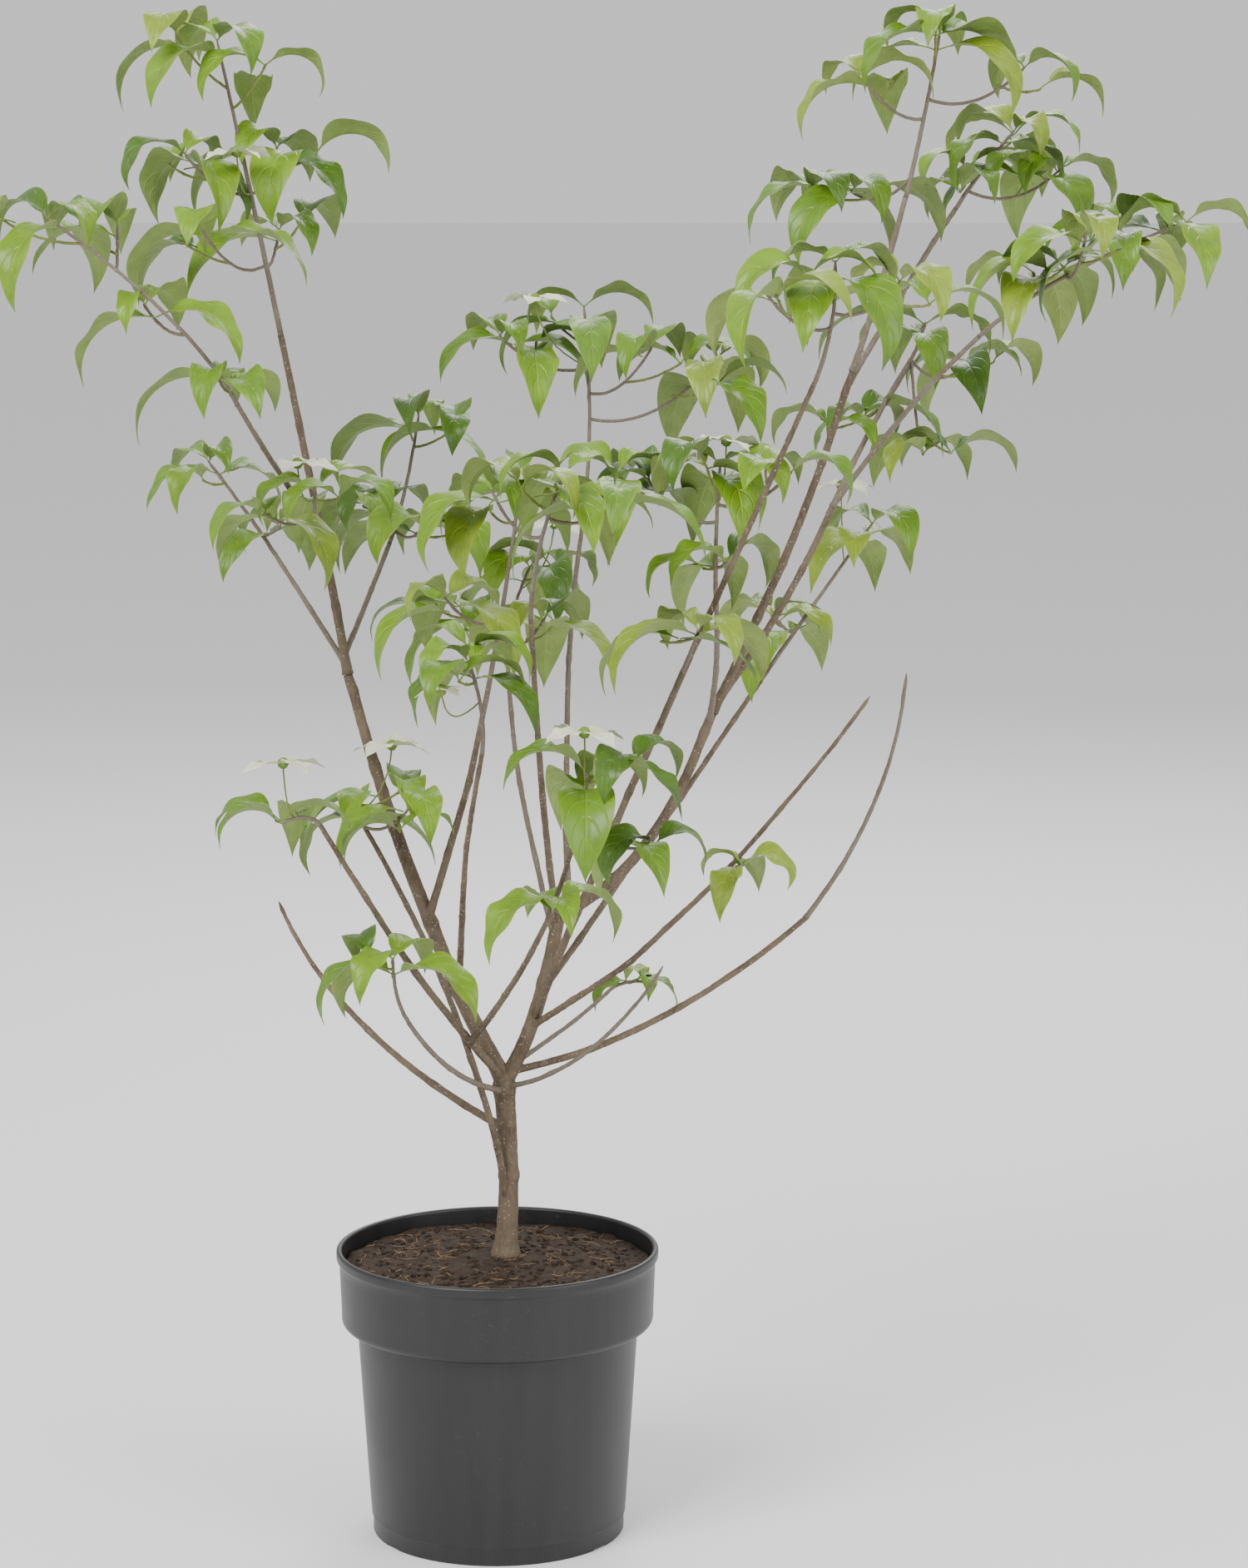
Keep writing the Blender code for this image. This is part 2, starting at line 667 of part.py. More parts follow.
def trunk_rings(grow):
    """The trunk's points and radii, grown by a little for its cutter."""
    foot, middle, fork = trunk_line()
    points = [bow_at(foot, middle, fork, share) for share, _ in TRUNK_PROFILE]
    radii = [diameter / 2.0 + grow for _, diameter in TRUNK_PROFILE]
    if grow:
        points[0] = points[0] - Vector((0.0, 0.0, CUTTER_REACH))
        points[-1] = points[-1] + Vector((0.0, 0.0, CUTTER_REACH))
    return points, radii


def limb_tube(line, thick, thin, grow):
    """A limb's tube, grown by a little for its cutter."""
    points = bow(*line, LIMB_RINGS)
    radii = []
    for index in range(len(points)):
        share = index / (len(points) - 1)
        radii.append(MILLIMETRE * (thick + share * (thin - thick)) / 2.0 + grow)
    if grow:
        points[0] = points[0] + (points[0] - points[1]).normalized() * CUTTER_REACH
        points[-1] = points[-1] + (points[-1] - points[-2]).normalized() * CUT_GAP
    sides = THICK_LIMB_SIDES if thick > THICK_LIMB else THIN_LIMB_SIDES
    return tube(points, radii, sides)


def tree_of(vertices, faces):
    """A search tree over a mesh's faces, to find what it crosses."""
    return BVHTree.FromPolygons(vertices, faces, all_triangles=False)


def cut_clear(target, guards, solver="EXACT"):
    """Cut a solid by every grown limb that it crosses, which leaves a small gap between them."""
    corners = [vertex.co for vertex in target.data.vertices]
    own_tree = tree_of(corners, [tuple(face.vertices) for face in target.data.polygons])
    crossed = [guard for guard in guards.values() if own_tree.overlap(tree_of(*guard))]
    if crossed:
        cutters = [make_object("cutter", *guard) for guard in crossed]
        apply_boolean(target, cutters, "DIFFERENCE", solver)


def make_limbs(material):
    """The trunk and every limb, each cut clear of the ones before it."""
    lines = {"trunk": trunk_line()}
    guards = {"trunk": tube(*trunk_rings(CUT_GAP), TRUNK_SIDES)}
    corners, faces = tube(*trunk_rings(0.0), TRUNK_SIDES)
    for corner in corners[:TRUNK_SIDES]:
        corner.z = lines["trunk"][0].z
    trunk = make_object("trunk", corners, faces, material)
    shade_round(trunk, 40.0)
    for name, parent, share, via, tip, thick, thin in LIMBS:
        start = bow_at(*lines[parent], share)
        line = (start, Vector(via), Vector(tip))
        lines[name] = line
        limb = make_object(name, *limb_tube(line, thick, thin, 0.0), material)
        cut_clear(limb, guards)
        keep_body_near(limb, line[2])
        shade_round(limb, 40.0)
        guards[name] = limb_tube(line, thick, thin, CUT_GAP)
    return lines, guards


def midrib(root, heading, rise, droop, length):
    """Points down a leaf's midrib, which arches in one upright plane, and their slopes."""
    along = Vector((math.cos(heading), math.sin(heading), 0.0))
    step = length / MIDRIB_STEPS
    points = [root.copy()]
    slopes = [rise]
    for index in range(MIDRIB_STEPS):
        share = (index + 0.5) / MIDRIB_STEPS
        slope = rise + (droop - rise) * share ** LEAF_CURL
        points.append(points[-1] + step * (along * math.cos(slope) + Vector((0.0, 0.0, math.sin(slope)))))
        slopes.append(slope)
    return points, slopes


def leaf_shape(root, heading, rise, droop, length, width, guard=0.0):
    """A leaf as a closed wedge: two edges turned up and a keel, drawn to a point at each end."""
    points, slopes = midrib(root, heading, rise, droop, length)
    along = Vector((math.cos(heading), math.sin(heading), 0.0))
    side = Vector((-math.sin(heading), math.cos(heading), 0.0))
    vertices = [points[0]]
    for station, share in zip(LEAF_STATIONS, LEAF_WIDTHS):
        index = round(station * MIDRIB_STEPS)
        slope = slopes[index]
        normal = Vector((0.0, 0.0, math.cos(slope))) - along * math.sin(slope)
        half = 0.5 * width * share + guard
        keel = length * LEAF_KEEL_SHARE * share + guard
        lift = half * math.sin(LEAF_FOLD)
        reach = half * math.cos(LEAF_FOLD)
        vertices.append(points[index] + side * reach + normal * lift)
        vertices.append(points[index] - side * reach + normal * lift)
        vertices.append(points[index] - normal * keel)
    vertices.append(points[-1])
    faces = []
    for corner in range(3):
        follow = (corner + 1) % 3
        faces.append((0, 1 + follow, 1 + corner))
        faces.append((1 + corner, 1 + follow, 4 + follow, 4 + corner))
        faces.append((4 + corner, 4 + follow, 7))
    return vertices, faces


class Mass:
    """One mass of foliage while it grows: its pieces, and what they must keep clear of."""

    def __init__(self, obstacles):
        self.obstacles = obstacles
        self.blades = []
        self.pieces = []

    def is_clear(self, shape):
        """True if a shape crosses no limb, no other mass and no leaf of this mass."""
        own = tree_of(*shape)
        return not any(own.overlap(other) for other in self.obstacles + self.blades)

    def add_tube(self, points, radii):
        """A three-sided twig, unless it would touch a limb or another mass."""
        beyond = points[0].lerp(points[1], 0.5)
        guarded = tube([beyond] + points[1:], [radius + GUARD for radius in radii], TWIG_SIDES)
        own = tree_of(*guarded)
        if any(own.overlap(other) for other in self.obstacles):
            return False
        self.pieces.append(tube(points, radii, TWIG_SIDES))
        return True

    def add_leaf(self, root, heading, rise, droop, length, width):
        """A leaf, unless its blade would touch a limb, another mass or another leaf."""
        outward = Vector((math.cos(heading), math.sin(heading), math.sin(rise)))
        beyond = root + outward * PETIOLE
        guarded = leaf_shape(beyond, heading, rise, droop, length - PETIOLE, width, GUARD)
        if not self.is_clear(guarded):
            return False
        shape = leaf_shape(root + outward * LEAF_ROOT, heading, rise, droop, length, width)
        self.pieces.append(shape)
        self.blades.append(tree_of(*shape))
        return True


def spread(low, high, draw):
    """A value between two, at the draw's share."""
    return low + (high - low) * draw


def grow_leaves(mass, tip, direction, count, size, dice):
    """Opposite pairs round a shoot's tip, each pair turned a right angle from the last."""
    turn = dice.uniform(0.0, math.pi)
    for pair in range(math.ceil(count / 2)):
        root = tip - direction * (TIP_SETBACK + PAIR_SPACING * pair)
        high = 1.0 if pair == 0 else LOWER_PAIR_RISE / pair
        for half in range(2):
            if 2 * pair + half >= count:
                return
            scale = size * (YOUNGEST_PAIR_SIZE if pair == 0 else 1.0)
            base = turn + 0.5 * math.pi * pair + math.pi * half
            for attempt in range(LEAF_TRIES):
                length = scale * spread(*LEAF_LENGTH, dice.random())
                scatter = HEADING_SCATTER[0] + HEADING_SCATTER[1] * attempt
                heading = base + math.radians(dice.uniform(-1.0, 1.0) * scatter)
                rise = math.radians(spread(*LEAF_RISE, high) + dice.uniform(-RISE_SCATTER, RISE_SCATTER))
                droop = math.radians(spread(*LEAF_DROOP, dice.random()))
                width = length * LEAF_WIDTH_SHARE * dice.uniform(*WIDTH_SCATTER)
                if mass.add_leaf(root, heading, rise, droop, length, width):
                    break


def grow_shoot(mass, start, tip, count, size, dice):
    """A short shoot with its leaves."""
    radius = SHOOT_DIAMETER / 2.0
    if mass.add_tube([start, tip], [radius, radius]):
        grow_leaves(mass, tip, (tip - start).normalized(), count, size, dice)


def grow_tuft(mass, line, centre, half_width, leaves, dice):
    """A tuft at a twig's end: one shoot to its centre and others spread round it."""
    shoots = math.ceil(leaves / LEAVES_PER_SHOOT)
    shares = [leaves // shoots + (1 if index < leaves % shoots else 0) for index in range(shoots)]
    size = min(1.0, half_width / FULL_TUFT)
    leading = (line[-1] - line[-2]).normalized()
    grow_leaves(mass, centre, leading, shares[0], size, dice)
    room = max(0.0, half_width - TUFT_EDGE)
    first_turn = dice.uniform(0.0, math.tau)
    for index in range(1, shoots):
        turn = first_turn + math.tau * index / (shoots - 1) + dice.uniform(-SHOOT_TURN, SHOOT_TURN)
        reach = room * dice.uniform(*SHOOT_REACH)
        offset = Vector((math.cos(turn) * reach, math.sin(turn) * reach, dice.uniform(*SHOOT_HEIGHTS)))
        start = line[-2].lerp(line[-1], dice.uniform(*SHOOT_STARTS))
        grow_shoot(mass, start, centre + offset, shares[index], size, dice)


def leave_point(line, target):
    """Where a side twig leaves a stem: the nearest point from which it still climbs."""
    best = None
    for share in LEAVE_SHARES:
        point = bow_at(*line, share)
        away = target - point
        climb = away.z / max(away.length, 1e-6)
        cost = away.length + max(0.0, GOOD_CLIMB - climb) * CLIMB_COST
        if best is None or cost < best[0]:
            best = (cost, point)
    return best[1]


def grow_flower(mass, line, centre, bract_length, dice):
    """A flower head on its stalk: four pointed bracts round a button."""
    start = leave_point(line, centre)
    lowered = centre - Vector((0.0, 0.0, STALK_LENGTH))
    points = bow(start, start.lerp(lowered, STALK_BEND), centre, TWIG_RINGS)
    radius = STALK_DIAMETER / 2.0
    if not mass.add_tube(points, [radius] * len(points)):
        return
    turn = dice.uniform(0.0, math.tau)
    button = BUTTON_DIAMETER / 2.0
    rings = [centre + Vector((0.0, 0.0, height * button)) for height, _ in BUTTON_RINGS]
    mass.pieces.append(tube(rings, [share * button for _, share in BUTTON_RINGS], BUTTON_SIDES))
    for bract in range(BRACTS):
        heading = turn + math.tau * bract / BRACTS
        rise = math.radians(dice.uniform(*BRACT_RISE))
        width = bract_length * BRACT_WIDTH_SHARE
        mass.add_leaf(centre, heading, rise, math.radians(BRACT_DROOP), bract_length, width)


def stem_line(lines, limb, share, last):
    """A mass's stem: on from its limb to the last tuft, leaving in the limb's own direction."""
    start = bow_at(*lines[limb], share)
    ahead = (start - bow_at(*lines[limb], share - LIMB_END_SHARE)).normalized()
    half_way = start + ahead * 0.5 * (last - start).length
    via = start.lerp(last, 0.5).lerp(half_way, STEM_FOLLOW)
    return start, via, last


def grow_mass(row, index, lines, obstacles, thin):
    """Every piece of one mass, by the seeded rule."""
    _, limb, share, tufts, flowers = row
    dice = random.Random(SEED + index)
    mass = Mass(obstacles)
    last = Vector(tufts[-1][0])
    line = stem_line(lines, limb, share, last)
    stem = bow(*line, STEM_RINGS)
    radii = []
    for step in range(len(stem)):
        radii.append(spread(thin, STEM_TIP_DIAMETER, step / (len(stem) - 1)) / 2.0)
    mass.pieces.append(tube(stem, radii, TWIG_SIDES))
    for centre, bract_length in flowers:
        grow_flower(mass, line, Vector(centre), bract_length, dice)
    for centre, half_width, leaves in reversed(tufts):
        centre = Vector(centre)
        if centre == last:
            grow_tuft(mass, stem, centre, half_width, leaves, dice)
            continue
        start = leave_point(line, centre)
        low = Vector((0.0, 0.0, TWIG_SAG * (centre - start).length))
        twig = bow(start, start.lerp(centre, 0.5) - low, centre, TWIG_RINGS)
        thick = TWIG_DIAMETER / 2.0
        if mass.add_tube(twig, [thick] * len(twig)):
            grow_tuft(mass, twig, centre, half_width, leaves, dice)
    return mass


def make_masses(material, lines, guards):
    """Every mass of foliage, each fused to one solid that keeps clear of all the others."""
    limb_trees = {name: tree_of(*guard) for name, guard in guards.items()}
    thin_ends = {row[0]: row[6] for row in LIMBS}
    grown = []
    for index, row in enumerate(MASSES):
        name, limb, share = row[:3]
        obstacles = list(limb_trees.values()) + grown
        thin = MILLIMETRE * thin_ends[limb] if share == 1.0 else STEM_TIP_DIAMETER
        mass = grow_mass(row, index, lines, obstacles, thin)
        solid = make_object(name, *mass.pieces[0], material)
        others = [make_object("piece", *piece) for piece in mass.pieces[1:]]
        apply_boolean(solid, others, "UNION", MASS_SOLVER)
        cut_clear(solid, guards, MASS_SOLVER)
        keep_outer_body(solid)
        for vertices, faces in mass.pieces:
            grown.append(tree_of(vertices, faces))


def centre_on_origin():
    """Move every object so that the origin lies under the middle of their joint box."""
    lows = []
    highs = []
    for made in bpy.context.scene.objects:
        corners = [Vector(corner) for corner in made.bound_box]
        for axis in range(2):
            lows.append((axis, min(corner[axis] for corner in corners)))
            highs.append((axis, max(corner[axis] for corner in corners)))
    middle = []
    for axis in range(2):
        low = min(value for which, value in lows if which == axis)
        high = max(value for which, value in highs if which == axis)
        middle.append((low + high) / 2.0)
    for made in bpy.context.scene.objects:
        made.location = (-middle[0], -middle[1], 0.0)


def main():
    clear_scene()
    pot_plastic = make_material("black_pot_plastic", (0.012, 0.012, 0.013), 0.42)
    peat = make_material("peat", (0.028, 0.017, 0.010), 0.95)
    bark = make_material("bark", (0.105, 0.075, 0.048), 0.80)
    leaves = make_material("leaves", (0.120, 0.235, 0.018), 0.50)
    make_pot(pot_plastic)
    make_soil(peat)
    lines, guards = make_limbs(bark)
    make_masses(leaves, lines, guards)
    centre_on_origin()


main()
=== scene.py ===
"""The looks of a young kousa dogwood with several leaders, in a black nursery pot."""

import math
import random

import bpy
import numpy as np
from bpy.props import FloatProperty, FloatVectorProperty, IntProperty, PointerProperty
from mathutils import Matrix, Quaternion, Vector
from mathutils.bvhtree import BVHTree

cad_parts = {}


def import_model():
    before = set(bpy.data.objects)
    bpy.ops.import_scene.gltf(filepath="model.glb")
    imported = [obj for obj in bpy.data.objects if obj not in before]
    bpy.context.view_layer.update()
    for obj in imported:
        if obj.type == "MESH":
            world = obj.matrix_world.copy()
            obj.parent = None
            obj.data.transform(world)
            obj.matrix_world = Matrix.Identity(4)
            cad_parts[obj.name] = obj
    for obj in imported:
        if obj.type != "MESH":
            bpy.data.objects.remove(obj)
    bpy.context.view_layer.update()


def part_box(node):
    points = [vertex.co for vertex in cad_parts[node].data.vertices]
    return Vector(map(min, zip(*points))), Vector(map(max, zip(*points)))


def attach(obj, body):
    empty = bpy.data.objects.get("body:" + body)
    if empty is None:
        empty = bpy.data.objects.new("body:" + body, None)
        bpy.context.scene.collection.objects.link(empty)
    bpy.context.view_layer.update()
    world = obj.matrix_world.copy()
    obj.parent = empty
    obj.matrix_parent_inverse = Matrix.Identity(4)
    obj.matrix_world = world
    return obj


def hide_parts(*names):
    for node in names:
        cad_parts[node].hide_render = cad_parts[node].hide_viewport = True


bl_info = {
    "name": "Potted Kousa Dogwood",
    "version": (1, 0, 0),
    "blender": (4, 5, 0),
    "location": "View3D > Sidebar > Dogwood",
    "description": "Bark, twigs, leaves, bracts, soil and pot of a young kousa dogwood",
    "category": "Add Mesh",
}

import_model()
POT_LOW, POT_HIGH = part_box("pot")
# Sizes and places below are given from the foot of the pot's axis, which stands here
POT_AXIS = np.array([(POT_LOW.x + POT_HIGH.x) / 2.0, (POT_LOW.y + POT_HIGH.y) / 2.0, 0.0])

MILLIMETRE = 0.001
GAP = 0.0003            # between solids that touch on the real plant
CUT_GAP = 0.0004        # the same, where a faceted limb is cut by another

# Pot: a 24 cm nursery pot with a deep collar and a short ring under its floor
RIM_DIAMETER = 0.240
POT_HEIGHT = 0.216
LIP_HEIGHT = 0.006
LIP_BEAD_SHARE = 0.36   # radius of the lip's round edge, as a share of its height
LIP_SHARES = (1.7, 1.9)  # lip heights from the rim down to where the collar's outer and inner sides end
COLLAR_TOP_DIAMETER = 0.2355
COLLAR_FOOT_DIAMETER = 0.2325
COLLAR_HEIGHT = 0.058
COLLAR_ROUND = 0.006
COLLAR_SIDE_START = 0.010  # above the collar's foot
COLLAR_STEPS = 9
UNDER_COLLAR_ROUND = 0.002
BODY_STEPS = 24
BODY_START = 0.020
BODY_END_GAP = 0.004       # under the collar
BODY_TOP_DIAMETER = 0.2095
BODY_FOOT_DIAMETER = 0.1905
SEAM_HEIGHT = 0.014
SEAM_STEP = 0.001
SEAM_ROUND = 0.0008
RING_DIAMETER = 0.188
FOOT_ROUND = 0.0012
FOOT_INNER_RISE = 0.0006   # of the ring's inner edge from the floor
FOOT_WIDTH = 0.004      # of the flat ring that the pot stands on
FOOT_DRAFT = 0.001      # how far the ring's inner side leans in
WALL = 0.0022
FLOOR_HEIGHT = 0.011
NOTCH_WIDTH = 0.013
NOTCH_HEIGHT = 0.007
NOTCH_BLEND = 0.0014    # height over which a notch's rise fades on the foot's outline
NOTCH_ANGLES = (-35.0, -145.0, 35.0, 145.0)   # degrees from +X

# Soil: a mound that fills the pot to just under its rim
SOIL_EDGE_HEIGHT = 0.2035
SOIL_TOP_HEIGHT = 0.2095
SOIL_LEVEL_RADIUS = 0.022

# Trunk, from its flat cut at the soil to the fork of the two leaders
TRUNK_X = 0.006
FORK_POINT = (0.006, 0.0, 0.342)
TRUNK_BOW = 0.0018      # how far the trunk stands out to the right half way up
TRUNK_SIDES = 12
TRUNK_PROFILE = (       # height above the soil as a share of the trunk, diameter
    (0.00, 0.0225),
    (0.06, 0.0180),
    (0.16, 0.0160),
    (0.45, 0.0145),
    (0.80, 0.0150),
    (1.00, 0.0165),
)

THICK_LIMB = 6.0        # millimetres: a limb thicker than this at its foot has more sides
THICK_LIMB_SIDES = 6
THIN_LIMB_SIDES = 5
LIMB_RINGS = 4          # stretches between a limb's rings
CUTTER_REACH = 0.0006   # how far a cutter runs past the ends of its limb

# Each limb: the limb it leaves and the share of that limb's length where it does, a
# point it passes half way, its tip, and its diameter at each end in millimetres.
LIMBS = (
    ("left_leader", "trunk", 1.0, (-0.060, 0.018, 0.485), (-0.110, 0.040, 0.640), 13, 7.2),
    ("right_leader", "trunk", 1.0, (0.030, 0.002, 0.395), (0.046, 0.010, 0.465), 11.2, 10),
    ("left_leader_upper", "left_leader", 1.0, (-0.132, 0.044, 0.760), (-0.156, 0.035, 0.890), 7, 4.6),
    ("left_high_bough", "left_leader_upper", 0.42,
     (-0.158, -0.038, 0.803), (-0.180, -0.100, 0.855), 4.4, 3.4),
    ("left_low_bough", "left_leader_upper", 0.03, (-0.143, 0.082, 0.688), (-0.170, 0.122, 0.722), 4.2, 3.4),
    ("left_back_bough", "left_leader_upper", 0.06,
     (-0.098, 0.095, 0.690), (-0.084, 0.142, 0.728), 4.4, 3.6),
    ("left_spur", "left_leader_upper", 0.36, (-0.129, 0.010, 0.745), (-0.128, -0.028, 0.762), 3.6, 3),
    ("inner_bough", "left_leader", 0.42, (-0.029, -0.012, 0.532), (-0.010, -0.050, 0.608), 6.2, 4.4),
    ("middle_bough", "left_leader", 0.24, (-0.020, -0.085, 0.505), (-0.004, -0.165, 0.610), 5.2, 3.4),
    ("low_left_bough", "trunk", 1.0, (-0.056, -0.068, 0.437), (-0.120, -0.115, 0.552), 6.2, 3.6),
    ("basal_shoot", "trunk", 0.27, (-0.027, -0.024, 0.392), (-0.095, 0.000, 0.530), 5.6, 3.6),
    ("bare_left_bough", "trunk", 0.72, (-0.104, 0.082, 0.366), (-0.170, 0.120, 0.455), 6.2, 3),
    ("lowest_left_bough", "trunk", 0.94, (-0.030, -0.054, 0.362), (-0.060, -0.092, 0.405), 4.6, 3.4),
    ("right_leader_middle", "right_leader", 1.0, (0.110, 0.026, 0.515), (0.160, 0.040, 0.612), 8.6, 7),
    ("right_leader_upper", "right_leader_middle", 1.0,
     (0.214, 0.030, 0.733), (0.260, 0.010, 0.865), 6.8, 5),
    ("top_bough", "right_leader_upper", 1.0, (0.279, -0.006, 0.928), (0.295, -0.020, 0.990), 4.8, 3.8),
    ("top_right_bough", "right_leader_upper", 0.97, (0.298, 0.058, 0.918), (0.340, 0.100, 0.980), 4.6, 3.6),
    ("centre_right_bough", "right_leader_middle", 0.97,
     (0.161, -0.006, 0.656), (0.160, -0.052, 0.710), 4.8, 3.6),
    ("right_outer_bough", "right_leader_upper", 0.05,
     (0.214, 0.078, 0.690), (0.250, 0.092, 0.760), 5.6, 4.6),
    ("far_right_bough", "right_outer_bough", 1.0, (0.302, 0.054, 0.832), (0.350, 0.000, 0.890), 4.4, 3.6),
    ("back_right_bough", "right_outer_bough", 0.96, (0.284, 0.142, 0.820), (0.312, 0.182, 0.862), 4.4, 3.4),
    ("front_bough", "right_leader", 0.96, (0.036, -0.075, 0.580), (0.030, -0.150, 0.700), 5.4, 3.8),
    ("centre_back_bough", "right_leader_middle", 0.06,
     (0.052, 0.052, 0.610), (0.064, 0.110, 0.750), 4.8, 3.4),
    ("low_front_bough", "low_left_bough", 0.20, (0.030, -0.128, 0.465), (0.064, -0.238, 0.570), 5, 3.4),
    ("back_bough", "right_leader", 0.88, (0.014, 0.092, 0.560), (0.005, 0.170, 0.648), 4.4, 3.4),
    ("front_right_bough", "right_leader", 0.45, (0.120, -0.128, 0.628), (0.222, -0.200, 0.866), 6.2, 3.6),
    ("right_back_bough", "right_leader", 0.62, (0.132, 0.128, 0.528), (0.208, 0.188, 0.628), 5.2, 3.6),
    ("low_front_right_bough", "right_leader", 0.40,
     (0.143, -0.100, 0.492), (0.262, -0.200, 0.655), 5.2, 2.6),
    ("lowest_right_bough", "right_leader", 0.08, (0.125, 0.010, 0.390), (0.230, 0.050, 0.455), 5.4, 4.2),
    ("lowest_right_tip", "lowest_right_bough", 1.0, (0.285, 0.070, 0.545), (0.306, 0.080, 0.636), 4, 2.4),
    ("budded_bough", "trunk", 0.97, (0.064, -0.052, 0.372), (0.122, -0.110, 0.450), 4, 2.4),
    ("low_back_bough", "right_leader", 0.14, (0.055, 0.052, 0.376), (0.085, 0.096, 0.392), 3.8, 2.8),
)

